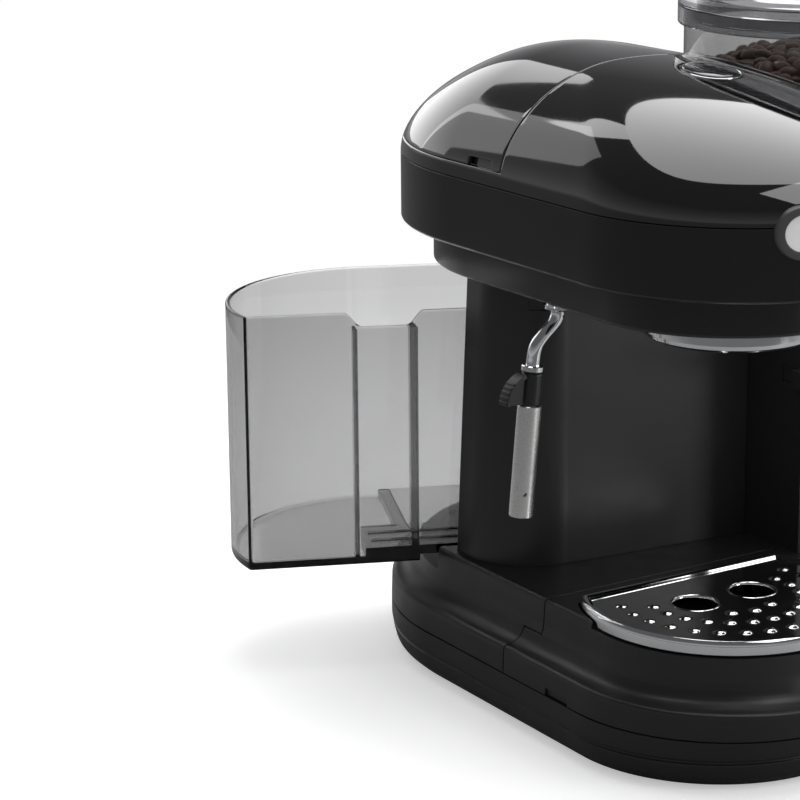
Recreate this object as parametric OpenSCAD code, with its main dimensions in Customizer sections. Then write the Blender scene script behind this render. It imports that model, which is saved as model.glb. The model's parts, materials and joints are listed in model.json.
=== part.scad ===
// Espresso machine with a built-in grinder.
// Millimetres. X to the user's right, Y to the back, Z up.
// Origin: middle of the footprint, on the surface that the feet stand on.

/* [Stations] */
// Distance between the brewing axis and the grinding axis
station_gap = 105; // [100:1:110]
// How far the brewing axis lies in front of the origin
brew_forward = 88; // [84:1:90]
// How far the hopper axis lies in front of the origin
hopper_forward = 30; // [26:1:34]

/* [Base] */
// Half of the width of the base
base_half = 132; // [130:1:134]
// Radius of the two front lobes of the base
base_lobe_r = 78; // [76:0.5:79]
// Radius of the rear corners of the base
base_back_r = 113; // [108:1:116]
// Rearmost point of the base
base_back_y = 151; // [148:1:153]
// Height of the joint between the plinth and the parts above
joint_z = 25; // [24:0.5:26]
// Height of the rim of the base
rim_z = 38; // [37:0.5:39]
// Height of the deck around the drip plate
deck_z = 62; // [61:0.5:63]
// Height of the floor of the tank bay
bay_z = 51; // [50:0.5:52]

/* [Head] */
// Height of the underside of the lower tier
tier_z = 199; // [198:0.5:200]
// Height of the underside of the satin band
band_z = 217; // [216:0.5:218]
// Height of the seam between the satin band and the glossy dome
seam_z = 249; // [248:0.5:250]
// Half width of one lobe of the head
lobe_half = 80; // [79:0.5:81]
// Reach of the head in front of its widest line
head_front = 187; // [184:1:189]
// Reach of the head behind its widest line
head_rear = 108; // [105:1:110]
// Rise of the dome over the brewing lobe
rise_brew = 54; // [52:0.5:56]
// Rise of the dome over the grinding lobe
rise_grind = 33; // [31:0.5:35]

/* [Water tank] */
// Length of the tank along its flat wall
tank_len = 140; // [136:1:142]
// Depth of the tank behind its flat wall
tank_depth = 104; // [100:1:105]
// Height of the tank
tank_h = 124; // [120:1:126]
// How far the tank is drawn out of its bay
tank_drawn = 85; // [80:1:95]

/* [Hopper] */
// Outer radius of the bean hopper
hopper_r = 70; // [68:0.5:71]
// Height of the lid's lower edge
hopper_lid_z = 310; // [306:1:312]

/* [Hidden] */

$fn = 96;
gap = 0.4;                 // joint between fixed covers
slack = 0.5;               // joint round a moving part
wall = 3;                  // wall of the mouldings
half_gap = station_gap / 2;
brew = [-half_gap, -brew_forward];
grind = [half_gap, -hopper_forward];
chute = [half_gap, -97];

satin = [0.09, 0.09, 0.095];
gloss = [0.03, 0.03, 0.035];
chrome = [0.82, 0.83, 0.84];
steel = [0.66, 0.67, 0.68];
smoke = [0.35, 0.36, 0.38, 0.45];

// ---------------------------------------------------------------- outlines of the base

// One ring of the base: two round lobes in front with a filleted valley between them,
// straight sides and two large corners behind. Counter-clockwise, in the plane.
valley_r = 25;
function arc(c, r, a, b, n) =
    [for (i = [0 : n]) let (t = a + (b - a) * i / n) [c.x + r * cos(t), c.y + r * sin(t)]];
function left_half(half, r, yc, yb, rb) =
    let (cx = half - r, h = sqrt(pow(r + valley_r, 2) - cx * cx), t = atan2(h, cx))
    concat(
        arc([0, yc - h], valley_r, 90, 180 - t, 3),
        arc([-cx, yc], r, -t - 6, -180, 15),
        arc([-half + rb, yb - rb], rb, 180, 90, 11)
    );
function base_ring(half, r, yc, yb = base_back_y, rb = base_back_r) =
    let (l = left_half(half, r, yc, yb, rb))
    concat([for (p = l) [-p.x, p.y]], [for (i = [len(l) - 1 : -1 : 1]) l[i]]);

// Joins rings of equal length into one closed solid. Each level is [ring, z].
module loft(levels) {
    n = len(levels[0][0]);
    m = len(levels);
    points = [for (l = levels) for (p = l[0]) [p.x, p.y, l[1]]];
    sides = [for (j = [0 : m - 2]) for (i = [0 : n - 1])
        let (k = (i + 1) % n, a = j * n + i, b = j * n + k) each [[a, b + n, b], [a, a + n, b + n]]];
    polyhedron(points, concat([[for (i = [0 : n - 1]) i]], sides,
        [[for (i = [n - 1 : -1 : 0]) (m - 1) * n + i]]), convexity = 6);
}

skirt_y = -82.5;           // centre of the lobes at the skirt
rim_y = -89.5;             // centre of the lobes at the rim
joint_y = -86.5;           // centre of the lobes at the joint line
drum_r = 66;               // radius of the raised drum round the drip plate
drum_half = half_gap + drum_r;
plate_seat_z = 58.6;       // where the drip plate rests

// ---------------------------------------------------------------- outline of the head

head_y = 18;               // widest line of the head
head_mid = [0, -12];
head_n = 72;
blend = 16;
function front_gauge(u, v) =
    let (c = head_front - lobe_half, w = abs(u), q = w * w + v * v)
    v <= c * w / lobe_half ? w / lobe_half
        : q / (c * v + sqrt(max(0, c * c * v * v - (c * c - lobe_half * lobe_half) * q)));
function lobe_gauge(x, y, cx) =
    let (u = x - cx, d = y - head_y)
    d > 0 ? sqrt(pow(u / lobe_half, 2) + pow(d / head_rear, 2)) : front_gauge(u, -d);
function head_gauge(x, y) =
    let (a = lobe_gauge(x, y, -half_gap), b = lobe_gauge(x, y, half_gap), m = min(a, b))
    m - ln(exp(-blend * (a - m)) + exp(-blend * (b - m))) / blend;
function head_edge(t, lo = 0, hi = 260, n = 22) =
    let (m = (lo + hi) / 2)
    n == 0 ? m
        : head_gauge(head_mid.x + m * cos(t), head_mid.y + m * sin(t)) < 1
            ? head_edge(t, m, hi, n - 1) : head_edge(t, lo, m, n - 1);
head_angles = [for (i = [0 : head_n - 1]) 360 * i / head_n];
head_radii = [for (t = head_angles) head_edge(t)];
function head_point(i, r) = head_mid + r * [cos(head_angles[i]), sin(head_angles[i])];
function head_ring(inset) = [for (i = [0 : head_n - 1]) head_point(i, head_radii[i] - inset)];

// Height of the dome above the seam. The shoulders are rounder behind the widest line.
function lobe_rise(x, y, cx, rise) =
    let (p = 2 - 0.25 * min(1, max(0, (y - head_y) / 60)), g = min(1, lobe_gauge(x, y, cx)))
    rise * pow(max(0, 1 - pow(g, p)), 1 / p);
function dome_rise(x, y) =
    let (a = lobe_rise(x, y, -half_gap, rise_brew), b = lobe_rise(x, y, half_gap, rise_grind),
        m = max(a, b))
    m + 4 * ln(exp((a - m) / 4) + exp((b - m) / 4)) * min(1, m / 12);

// The dome as a closed solid: rings from the edge to the middle, over a flat bottom.
dome_rings = 9;
module dome_solid(inset = 0, lift = 0, drop = 0) {
    n = head_n;
    m = dome_rings;
    share = [for (j = [0 : m - 1]) 1 - pow(j / m, 1.7)];
    points = concat(
        [for (p = head_ring(inset)) [p.x, p.y, seam_z - drop]],
        [for (j = [0 : m - 1]) for (i = [0 : n - 1])
            let (p = head_point(i, head_radii[i] * share[j]),
                q = head_point(i, (head_radii[i] - inset) * share[j]))
            [q.x, q.y, seam_z + lift + dome_rise(p.x, p.y) * (1 - inset / rise_brew)]],
        [[head_mid.x, head_mid.y,
            seam_z + lift + dome_rise(head_mid.x, head_mid.y) * (1 - inset / rise_brew)]]);
    first = drop + lift > 0 ? 0 : 1;
    sides = [for (j = [first : m - 1]) for (i = [0 : n - 1])
        let (k = (i + 1) % n, a = j * n + i, b = j * n + k) each [[a, b + n, b], [a, a + n, b + n]]];
    top = (m + 1) * n;
    polyhedron(points, concat([[for (i = [0 : n - 1]) first * n + i]], sides,
        [for (i = [0 : n - 1]) [m * n + i, top, m * n + (i + 1) % n]]), convexity = 8);
}

// ---------------------------------------------------------------- base

foot_at = [[-96, -118], [96, -118], [-84, 96], [84, 96]];
screw_at = [[-100, -60], [100, -60], [-60, 118], [60, 118], [0, -110]];
foot_h = 3;
module plinth() color(satin) {
    difference() {
        loft([
            [base_ring(125.5, 70.5, skirt_y, 148, 111), 1.5],
            [base_ring(129.5, 74.5, skirt_y, 150, 112), 5],
            [base_ring(131.5, 76.5, skirt_y, 151, 113), 12.6],
            [base_ring(130.6, 75.6, skirt_y, 150.2, 112), 13],
            [base_ring(130.6, 75.6, skirt_y, 150.2, 112), 14.4],
            [base_ring(132, 77.2, -83.4), 14.8],
            [base_ring(base_half, base_lobe_r, joint_y), joint_z - gap]
        ]);
        translate([0, 0, -1])
            linear_extrude(joint_z - 1.8) polygon(base_ring(122, 67, -81, 144, 107));
    }
    for (at = foot_at) translate([at.x, at.y, foot_h]) cylinder(r = 6, h = 20);
    for (at = screw_at) translate([at.x, at.y, 2.9]) cylinder(r = 3.6, h = 20);
    // Lip that the deck stands on
    translate([0, 0, joint_z - gap - 1]) linear_extrude(gap + 1) intersection() {
        difference() {
            polygon(base_ring(127, 73, -86, 146, 108));
            polygon(base_ring(122, 68, -86, 141, 103));
        }
        translate([-200, drawer_low_y + 4]) square(400);
    }
}

// Finger notch in the lower edge of the drawer, at its left side.
notch_at = -70;
notch_len = 17;
notch_h = 3.4;
notch_deep = 5;
module finger_notch() translate([-base_half - 1, notch_at - notch_len / 2, joint_z - 1])
    cube([1 + notch_deep, notch_len, 1 + notch_h]);

module base_plate() color("dimgray") difference() {
    translate([0, 0, 1.6]) linear_extrude(1.3) polygon(base_ring(121, 66, -81, 143, 106));
    for (at = foot_at) translate([at.x, at.y, 0]) cylinder(r = 6.4, h = 4);
    for (i = [-5 : 5]) translate([grind.x + i * 8 - 1.5, -4, 0]) cube([3, 48, 5]);
}

module rubber_feet() color([0.05, 0.05, 0.05])
    for (at = foot_at) translate([at.x, at.y, 0])
        rotate_extrude() polygon([[0, 0], [7, 0], [8, 1], [8, 1.4], [5.9, 1.4], [5.9, 3], [0, 3]]);

module base_screws() color(steel)
    for (at = screw_at) translate([at.x, at.y, 0.9]) difference() {
        cylinder(r = 3.4, h = 0.7);
        translate([-2.4, -0.4, -0.5]) cube([4.8, 0.8, 0.8]);
        translate([-0.4, -2.4, -0.5]) cube([0.8, 4.8, 0.8]);
    }

// The upper base: rim, shelf, a concave flare and the raised deck.
module upper_base() loft([
    [base_ring(base_half, base_lobe_r, joint_y), joint_z],
    [base_ring(131.6, 78, -89.3), rim_z - 1.4],
    [base_ring(130.4, 77, rim_y, 150, 112), rim_z],
    [base_ring(126.6, 73.4, rim_y, 146, 109), rim_z + 0.5],
    [base_ring(123.2, 70, -89, 142.6, 106), rim_z + 2.2],
    [base_ring(120.8, 68, -88.4, 140, 103), rim_z + 5.6],
    [base_ring(119.2, 66.7, -88, 138, 101), rim_z + 11],
    [base_ring(drum_half, drum_r, -brew_forward, 137, 100), deck_z - 1.2],
    [base_ring(drum_half - 1.2, drum_r - 1.2, -brew_forward, 136, 99), deck_z]
]);

drawer_right = 19;         // right edge of the drip tray drawer
drawer_low_y = -28;        // its rear edge below the step
drawer_high_y = -42;       // its rear edge above the step
drawer_step_z = 45;
module drawer_space(grow = 0) {
    far = 400;
    translate([drawer_right + grow - far, drawer_low_y + grow - far, 0])
        cube([far, far, drawer_step_z + grow]);
    translate([drawer_right + grow - far, drawer_high_y + grow - far, 0]) cube([far, far, 100]);
}

// The tank slides along its flat wall. Its seated frame is the bay frame.
tank_turn = -22.8;
tank_home = [-127, 56.6];
tank_way = [cos(tank_turn), sin(tank_turn)];
tank_z = bay_z + 3;
bay_clear = 3;
module in_bay() translate([tank_home.x, tank_home.y, 0]) rotate([0, 0, tank_turn]) children();
module in_tank() translate([tank_home.x - tank_drawn * tank_way.x,
    tank_home.y - tank_drawn * tank_way.y, 0]) rotate([0, 0, tank_turn]) children();
module bay_space(z0, h)
    in_bay() translate([-250, -bay_clear, z0]) cube([250 + tank_len + bay_clear, 320, h]);

valve_v = 40;              // distance of the valve behind the tank's flat wall
gland_at = [12, 31.4];     // X and Z of the cord gland
rail_at = [12, 78];        // distances of the two rails behind the flat wall
module deck() color(satin) {
    difference() {
        upper_base();
        drawer_space(slack);
        bay_space(bay_z, 60);
        translate([0, 0, joint_z - 1]) linear_extrude(bay_z - 3 - joint_z + 1) intersection() {
            polygon(base_ring(112, 58, -80, 130, 94));
            translate([-130, drawer_low_y + 3.5]) square([260, 200]);
        }
        translate([0, 0, joint_z - 1]) linear_extrude(deck_z - 6 - joint_z) intersection() {
            translate([half_gap, -brew_forward]) circle(58);
            translate([drawer_right + 3.5, -200]) square([200, 200]);
        }
        translate([half_gap, -brew_forward + 2, deck_z - 2.4]) difference() {
            cylinder(r = 52, h = 5);
            translate([-60, 30, -1]) cube([120, 60, 8]);
            translate([-130 - (half_gap - drawer_right) + 4, -80, -1]) cube([130, 160, 8]);
        }
        translate([gland_at.x, 120, gland_at.y]) rotate([-90, 0, 0]) cylinder(r = 5, h = 60);
    }
    in_bay() for (v = rail_at)
        translate([30, v - 2, bay_z - 1]) cube([100, 4, 3.6]);
}

tray_floor_z = 28;
basin_r = 60;
basin_back = 28;           // the basin's straight back edge behind the brewing axis
module d_shape(r, back) intersection() {
    circle(r);
    translate([-r - 1, -r - 1]) square([2 * r + 2, r + 1 + back]);
}
module tray_drawer() color(satin) difference() {
    intersection() {
        upper_base();
        drawer_space();
    }
    translate([brew.x, brew.y, tray_floor_z]) linear_extrude(60) d_shape(basin_r, basin_back);
    translate([brew.x, brew.y, plate_seat_z]) linear_extrude(60) d_shape(drum_r + 2.5, 33.4);
    finger_notch();
}

// Drip plate: rolled rim, pressed dimples and two flanged drain holes.
plate_r = 65.2;
plate_back = 33;
plate_top = 64;
dimple_rows = [[48.4, 13.4, 8], [35.3, 16.7, 6], [22.7, 29, 1]];
drain_x = 16.2;
drain_r = 10;
module drip_plate() color(chrome) translate([brew.x, brew.y, 0]) {
    difference() {
        union() {
            translate([0, 0, plate_top - 1.2]) linear_extrude(1.2) d_shape(plate_r - 4, plate_back - 2);
            intersection() {
                rotate_extrude() polygon([[58.4, plate_top - 1.2], [60.4, plate_top], [61.6, 65.4],
                    [62.8, 65.9], [64, 65.6], [65, 64.6], [plate_r, 63], [plate_r, 59.2], [64.4, 58.8],
                    [64, 59.2], [64, 62.6], [63, 64.2], [61.6, 63.6], [60.6, 62.8]]);
                translate([-80, -80, 0]) cube([160, 80 + plate_back, 90]);
            }
            translate([0, plate_back, 0]) rotate([90, 0, 90]) translate([0, 0, -56])
                linear_extrude(112) polygon([[-4.6, 62.8], [-4.6, plate_top], [-3.4, 65.4],
                    [-1.6, 65.8], [-0.2, 64.8], [0, 63], [0, 59.2], [-1, 59.2], [-1, 62.8]]);
            for (row = dimple_rows) for (i = [-row[2] : row[2]])
                rotate([0, 0, i * row[1] - 90]) translate([row[0], 0, plate_top - 2.6])
                    intersection() {
                        sphere(r = 3.9, $fn = 32);
                        translate([0, 0, 2]) cylinder(r = 4, h = 3);
                    }
            for (s = [-1, 1]) translate([s * drain_x, 0, plate_top - 1])
                cylinder(r = drain_r + 1.4, h = 1.9);
        }
        for (s = [-1, 1]) translate([s * drain_x, 0, 50]) cylinder(r = drain_r, h = 20);
    }
}

// ---------------------------------------------------------------- column and grinder tower

column_left = -114.5;
column_front = -6;
column_corner = 34;
column_right = 18;
column_lean = 6.4;         // how far the left wall leans in from foot to top
module column_plan(d = 0) {
    r = column_corner - d;
    c = [column_left + column_corner, column_front + column_corner];
    back = in_bay_y(column_right - d, d);
    intersection() {
        translate(c) circle(r);
        translate([column_left, column_front]) square(column_corner);
    }
    polygon([[column_left + d, c.y], [c.x, c.y], [c.x, column_front + d],
        [column_right - d, -15 + d], [column_right - d, back], [-104, in_bay_y(-104, d)],
        [column_left + d, 38 - d]]);
}
// Y of the column's rear wall, which runs parallel to the tank, at a given X.
function in_bay_y(x, d) =
    tank_home.y + (x - tank_home.x) * tan(tank_turn) - (bay_clear + 0.4 + d) / cos(tank_turn);

module leaning_wall(d) translate([0, 100, 0]) rotate([90, 0, 0]) linear_extrude(200)
    polygon([[column_left + d, deck_z - 1], [60, deck_z - 1], [60, tier_z + 1],
        [column_left + column_lean + d, tier_z + 1]]);

module column() color(satin) difference() {
    intersection() {
        translate([0, 0, deck_z]) linear_extrude(tier_z - deck_z) column_plan();
        leaning_wall(0);
    }
    intersection() {
        translate([0, 0, deck_z - 1]) linear_extrude(tier_z - deck_z + 2) column_plan(wall);
        leaning_wall(wall);
    }
}

tower_left = 18.4;
tower_front = -55;
tower_right = 115;
tower_corner = 30;
tower_back = [39, 36];     // centre of its rear wall
tower_back_r = 76;
slant_at = [24.7, 38];     // a point on the wall that faces the tank
function slant_x(y) = slant_at.x - (y - slant_at.y) * tan(tank_turn);
module tower_plan(d = 0) {
    c = [tower_right - tower_corner, tower_front + tower_corner];
    side = d / cos(tank_turn);
    polygon([[tower_left + d, tower_front + d], [c.x, tower_front + d], c, [tower_right - d, c.y],
        [tower_right - d, tower_back.y], [slant_x(tower_back.y) + side, tower_back.y],
        [tower_left + d, 23 - d / 2]]);
    translate(c) intersection() {
        circle(tower_corner - d);
        translate([0, -tower_corner]) square(tower_corner);
    }
    intersection() {
        translate(tower_back) circle(tower_back_r - d);
        polygon([[slant_x(tower_back.y) + side, tower_back.y], [200, tower_back.y], [200, 200],
            [slant_x(200) + side, 200]]);
    }
}

vent_from = 14;
vent_to = 66;
module rear_arc(r0, r1, a0, a1, z0, z1) translate([tower_back.x, tower_back.y, z0])
    rotate([0, 0, a0]) rotate_extrude(angle = a1 - a0) translate([r0, 0]) square([r1 - r0, z1 - z0]);

module grinder_tower() color(satin) difference() {
    translate([0, 0, deck_z]) linear_extrude(tier_z - deck_z) tower_plan();
    translate([0, 0, deck_z - 1]) linear_extrude(tier_z - deck_z + 2) tower_plan(wall);
    rear_arc(tower_back_r - 8, tower_back_r + 4, vent_from + 5, vent_to - 5, 80, 182);
    for (s = [-1, 1]) translate([grind.x + s * 36 - 3, tower_front - 5, 144]) cube([6, 20, 8.4]);
    in_bay() translate([tank_len - 5, valve_v, tank_z + 16]) rotate([0, 90, 0]) cylinder(r = 5.3, h = 30);
}

module rear_cover() color(satin) difference() {
    rear_arc(tower_back_r, tower_back_r + 2.4, vent_from, vent_to, 72, 190);
    for (i = [0 : 8])
        rear_arc(tower_back_r - 4, tower_back_r + 6, vent_from + 8, vent_to - 8, 92 + i * 10, 95.4 + i * 10);
    for (a = [vent_from + 3, vent_to - 3]) for (z = [76, 186])
        translate([tower_back.x, tower_back.y, z]) rotate([0, 0, a]) rotate([0, 90, 0])
            translate([0, 0, tower_back_r + 1]) cylinder(r = 1.6, h = 4);
}

module cord_gland() color([0.05, 0.05, 0.05]) translate([gland_at.x, 0, gland_at.y])
    rotate([-90, 0, 0]) difference() {
        union() {
            translate([0, 0, 126]) cylinder(r = 5, h = base_back_y - 126);
            translate([0, 0, base_back_y]) cylinder(r = 6.2, h = 3);
            translate([0, 0, 127]) cylinder(r = 6.2, h = 3);
        }
        translate([0, 0, 120]) cylinder(r = 3.4, h = 40);
    }

// ---------------------------------------------------------------- head

tier_half = 120;
tier_r = 64;
module tier_plan(d = 0)
    polygon(base_ring(tier_half - d, tier_r - d, -brew_forward, 114 - d, 92 - d));

wand_at = [-114.5, -45];
fill_at = [-43, 76];
hose_at = [-84, 6];
module head_tier() color(satin) difference() {
    union() {
        difference() {
            translate([0, 0, tier_z]) linear_extrude(band_z - tier_z) tier_plan();
            translate([0, 0, tier_z + wall]) linear_extrude(band_z - tier_z) tier_plan(wall);
        }
        translate([0, 0, tier_z]) intersection() {
            linear_extrude(9) tier_plan(1);
            translate([wand_at.x, wand_at.y, 0]) cylinder(r = 10, h = 9);
        }
    }
    translate([brew.x, brew.y, 190]) cylinder(r = 34.6, h = 20);
    translate([wand_at.x, wand_at.y, 190]) cylinder(r = 5.2, h = 30);
    translate([grind.x, grind.y, 190]) cylinder(r = 6, h = 20);
    translate([chute.x, chute.y, 190]) cylinder(r = 13.4, h = 20);
    translate([fill_at.x, fill_at.y, 190]) cylinder(r = 18.4, h = 20);
    translate([hose_at.x, hose_at.y, 190]) cylinder(r = 5, h = 20);
}

// Panel on the front of the brewing lobe, wrapped round its circle.
panel_at = [-half_gap, head_y - (head_front - lobe_half)];
panel_z = 246.3;
panel_len = 72;
panel_h = 22.6;
module pill(len, h) union() {
    square([len - h, h], center = true);
    for (s = [-1, 1]) translate([s * (len - h) / 2, 0]) circle(h / 2);
}
module pill_prism(inset = 0) translate([panel_at.x, -190, panel_z]) rotate([-90, 0, 0])
    linear_extrude(60) pill(panel_len - 2 * inset, panel_h - 2 * inset);
module lobe_tube(r0, r1) translate([panel_at.x, panel_at.y, panel_z - 20]) difference() {
    cylinder(r = r1, h = 40);
    translate([0, 0, -1]) cylinder(r = r0, h = 42);
}

module head_band() color(satin) difference() {
    union() {
        difference() {
            union() {
                translate([0, 0, band_z]) linear_extrude(1) polygon(head_ring(0.7));
                translate([0, 0, band_z + 1]) linear_extrude(seam_z - gap - band_z - 1)
                    polygon(head_ring(0));
            }
            translate([0, 0, band_z - 1]) linear_extrude(40) polygon(head_ring(wall));
        }
        translate([0, 0, band_z]) linear_extrude(2.4) difference() {
            polygon(head_ring(2));
            tier_plan(6);
            translate(wand_at) circle(4);
        }
        // Lip that the dome stands on
        translate([0, 0, seam_z - 5]) linear_extrude(5) difference() {
            polygon(head_ring(1.7));
            polygon(head_ring(4.4));
        }
    }
    pill_prism();
}

// Opening of the rear lid, in the left half behind the front seam.
lid_front = -25;
lid_right = -30.5;
lid_low = 256;
notch_y = [-17, 1];        // finger notch in the lid's left edge
module lid_space(grow = 0) {
    translate([-200, lid_front - grow, lid_low - grow])
        cube([200 + lid_right + grow, 240, 100]);
}
hinge_y = 126.5;
hinge_len = 38;
module hinge_axis() translate([-half_gap, hinge_y, lid_low]) rotate([0, 90, 0]) children();
module knuckle(from, to) hinge_axis() translate([0, 0, from]) cylinder(r = 3, h = to - from);
module knuckle_web(from, to, up)
    translate([-half_gap + from, hinge_y - 6, lid_low - (up ? 0 : 3)]) cube([to - from, 6, 3]);

shell = 2.5;
module dome_shell() difference() {
    dome_solid();
    dome_solid(shell, 0, 1);
}

// The oval start button sits in the slope of the dome.
start_at = [-43, -59];
start_z = 297.7;
start_lean = 7.5;
module in_start() translate([start_at.x, start_at.y, start_z]) rotate([start_lean, 0, 0]) children();
module oval(r) {
    square([2 * r, 6], center = true);
    for (s = [-1, 1]) translate([0, 3 * s]) circle(r);
}

module dome_cover() color(gloss) difference() {
    union() {
        dome_shell();
        for (s = [-1, 1]) {
            knuckle(s * 15.2 - 3.4, s * 15.2 + 3.4);
            knuckle_web(s * 15.2 - 3.4, s * 15.2 + 3.4, false);
        }
    }
    difference() {
        lid_space(0.3);
        for (s = [-1, 1]) hinge_axis() translate([0, 0, s * 15.2 - 3.4]) cylinder(r = 3, h = 6.8);
    }
    hinge_axis() translate([0, 0, -11.6]) cylinder(r = 3.6, h = 23.2);
    hinge_axis() translate([0, 0, -30]) cylinder(r = 1.5, h = 60);
    translate([grind.x, grind.y, 240]) cylinder(r = 75.3, h = 60);
    in_start() translate([0, 0, -10]) linear_extrude(20) oval(13.5);
    pill_prism();
}

module rear_lid() color(gloss) difference() {
    union() {
        intersection() {
            dome_shell();
            lid_space(0);
        }
        knuckle(-11.4, 11.4);
        knuckle_web(-11.4, 11.4, true);
    }
    hinge_axis() translate([0, 0, -30]) cylinder(r = 1.56, h = 60);
    translate([-150, notch_y[0], lid_low - 1]) cube([40, notch_y[1] - notch_y[0], 4.6]);
}

module lid_hinge_pin() color(steel) hinge_axis()
    translate([0, 0, -hinge_len / 2]) cylinder(r = 1.5, h = hinge_len);

// Deck under the rear lid, with a filling funnel over the tank.
module fill_deck() color(satin) difference() {
    union() {
        translate([0, 0, 249.4]) linear_extrude(2.2) intersection() {
            polygon(head_ring(6));
            translate([-200, lid_front - 1]) square([200 + lid_right + 1, 240]);
        }
        translate([fill_at.x, fill_at.y, tier_z + wall]) cylinder(r = 23, h = 2.4);
        translate([fill_at.x, fill_at.y, 0]) rotate_extrude()
            polygon([[12, 188], [18, 188], [18, 218], [37, 250], [30, 251.6], [12, 251.6]]);
    }
    translate([fill_at.x, fill_at.y, 0]) rotate_extrude() polygon([[0, 180], [15.6, 180],
        [15.6, 219], [34, 250.4], [34, 260], [0, 260]]);
}

module top_button_rim() color(chrome) in_start() difference() {
    union() {
        translate([0, 0, -5]) linear_extrude(5.4) oval(13.5);
        translate([0, 0, 0.3]) linear_extrude(0.6) oval(13);
    }
    translate([0, 0, -6]) linear_extrude(10) oval(12.3);
}

module top_button() color(gloss) in_start() {
    translate([0, 0, -4]) linear_extrude(5) oval(12);
    translate([0, 0, 1]) linear_extrude(0.5) oval(11.5);
    translate([0, 0, 1.5]) linear_extrude(0.4) oval(10.4);
    translate([0, 0, -9]) cylinder(r = 3, h = 6);
}

module panel_bezel() color(chrome) difference() {
    union() {
        intersection() {
            lobe_tube(76, 81.6);
            pill_prism();
        }
        intersection() {
            lobe_tube(76, 82.8);
            pill_prism(1.2);
        }
    }
    intersection() {
        lobe_tube(81.6, 90);
        pill_prism(2.6);
    }
    pill_prism(3.6);
}

button_turn = [-11, 0, 11];
module at_button(i) translate([panel_at.x, panel_at.y, panel_z]) rotate([0, 0, button_turn[i]])
    translate([0, -78, 0]) rotate([90, 0, 0]) children();
module panel_plate() color([0.9, 0.9, 0.9]) difference() {
    intersection() {
        lobe_tube(78.6, 80.8);
        pill_prism(3.6);
    }
    for (i = [0 : 2]) at_button(i) translate([0, 0, -6]) cylinder(r = 5.4, h = 14);
}
module panel_button(i) color(chrome) at_button(i) rotate_extrude() polygon([[0, -4], [6.2, -4],
    [6.2, -2.6], [5, -2.6], [5, 3.4], [4.7, 3.9], [3.6, 4.1], [0, 3.7]]);
module button_single() panel_button(0);
module button_double() panel_button(1);
module button_steam() panel_button(2);

// ---------------------------------------------------------------- brewing group

module at_brew() translate([brew.x, brew.y, 0]) children();
module brew_ring() color(chrome) at_brew() difference() {
    rotate_extrude() polygon([[33, 186.6], [33.6, 186], [36.4, 186], [38, 187.2], [38.5, 189],
        [38.5, 194.6], [39.6, 197], [42, tier_z], [34.6, tier_z], [34.6, 197.6], [33, 197.6]]);
    for (a = [0, 120, 240]) rotate([0, 0, a + 30]) intersection() {
        translate([0, -8, 184]) cube([36, 16, 6.5]);
        cylinder(r = 35.6, h = 300);
    }
}
module brew_group() color(steel) at_brew() rotate_extrude() polygon([[0, 208], [1.6, 208], [1.6, 196],
    [27, 196], [27, 197.6], [34.4, 197.6], [34.4, tier_z + wall], [41, tier_z + wall],
    [41, 207], [34.4, 207], [34.4, 226], [30, 232], [0, 232]]);
module group_seal() color([0.12, 0.12, 0.12]) at_brew()
    rotate_extrude() polygon([[28.2, 193], [29, 192.4], [32.2, 192.4], [32.8, 193], [32.8, 197.6],
        [28.2, 197.6]]);
screen_rows = [[7.5, 8], [12.5, 12], [17.5, 18], [22.5, 24]];
module shower_screen() color(steel) at_brew() difference() {
    rotate_extrude() polygon([[0, 194.6], [26, 194.6], [27.4, 196], [0, 196]]);
    cylinder(r = 1.6, h = 250);
    for (row = screen_rows) for (i = [0 : row[1] - 1]) rotate([0, 0, 360 * i / row[1]])
        translate([row[0], 0, 190]) cylinder(r = 0.9, h = 10, $fn = 16);
}
module shower_screw() color(steel) at_brew() difference() {
    rotate_extrude() polygon([[0, 192.8], [3.4, 192.8], [4, 193.4], [4, 194.6], [1.6, 194.6],
        [1.6, 206], [0, 206]]);
    translate([-5, -0.5, 192]) cube([10, 1, 1.4]);
}

// ---------------------------------------------------------------- steam wand

wand_lean = 5.3;
wand_knee = [-127.4, 176];
module in_wand() translate([wand_knee.x, wand_at.y, wand_knee.y]) rotate([0, wand_lean, 0]) children();
wand_r = 4;
wand_bend = [[-114.5, -45, 198], [-114.5, -45, 192.5], [-117.4, -45, 188.4], [-124, -45, 183.6],
    [-127, -45, 179.6], [-127.6, -45, 174], [-127.83, -45, 171.4]];
module wand_socket() color(chrome) translate([wand_at.x, wand_at.y, 0]) rotate_extrude()
    polygon([[4.06, 196.4], [5.2, 196.4], [5.8, 197], [5.8, 198], [6.4, tier_z], [5.2, tier_z],
        [5.2, 208], [4.06, 208]]);
module steam_wand() color(chrome) difference() {
    union() {
        translate([wand_at.x, wand_at.y, 194.6]) cylinder(r = wand_r, h = 12.4);
        hose(wand_bend, wand_r - 0.05, 20);
        in_wand() translate([0, 0, -68]) cylinder(r = 3.2, h = 68);
        in_wand() translate([0, 0, -6]) cylinder(r = wand_r, h = 4);
    }
    in_wand() translate([0, 0, -70]) cylinder(r = 1.2, h = 8);
    translate([wand_at.x, wand_at.y, 198]) cylinder(r = 2.6, h = 20);
}
module wand_collar() color(chrome) in_wand() rotate_extrude() polygon([[4, -6], [5.4, -6], [6, -5.2],
    [6, -2.6], [5.4, -1.8], [4, -1.8]]);
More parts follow.
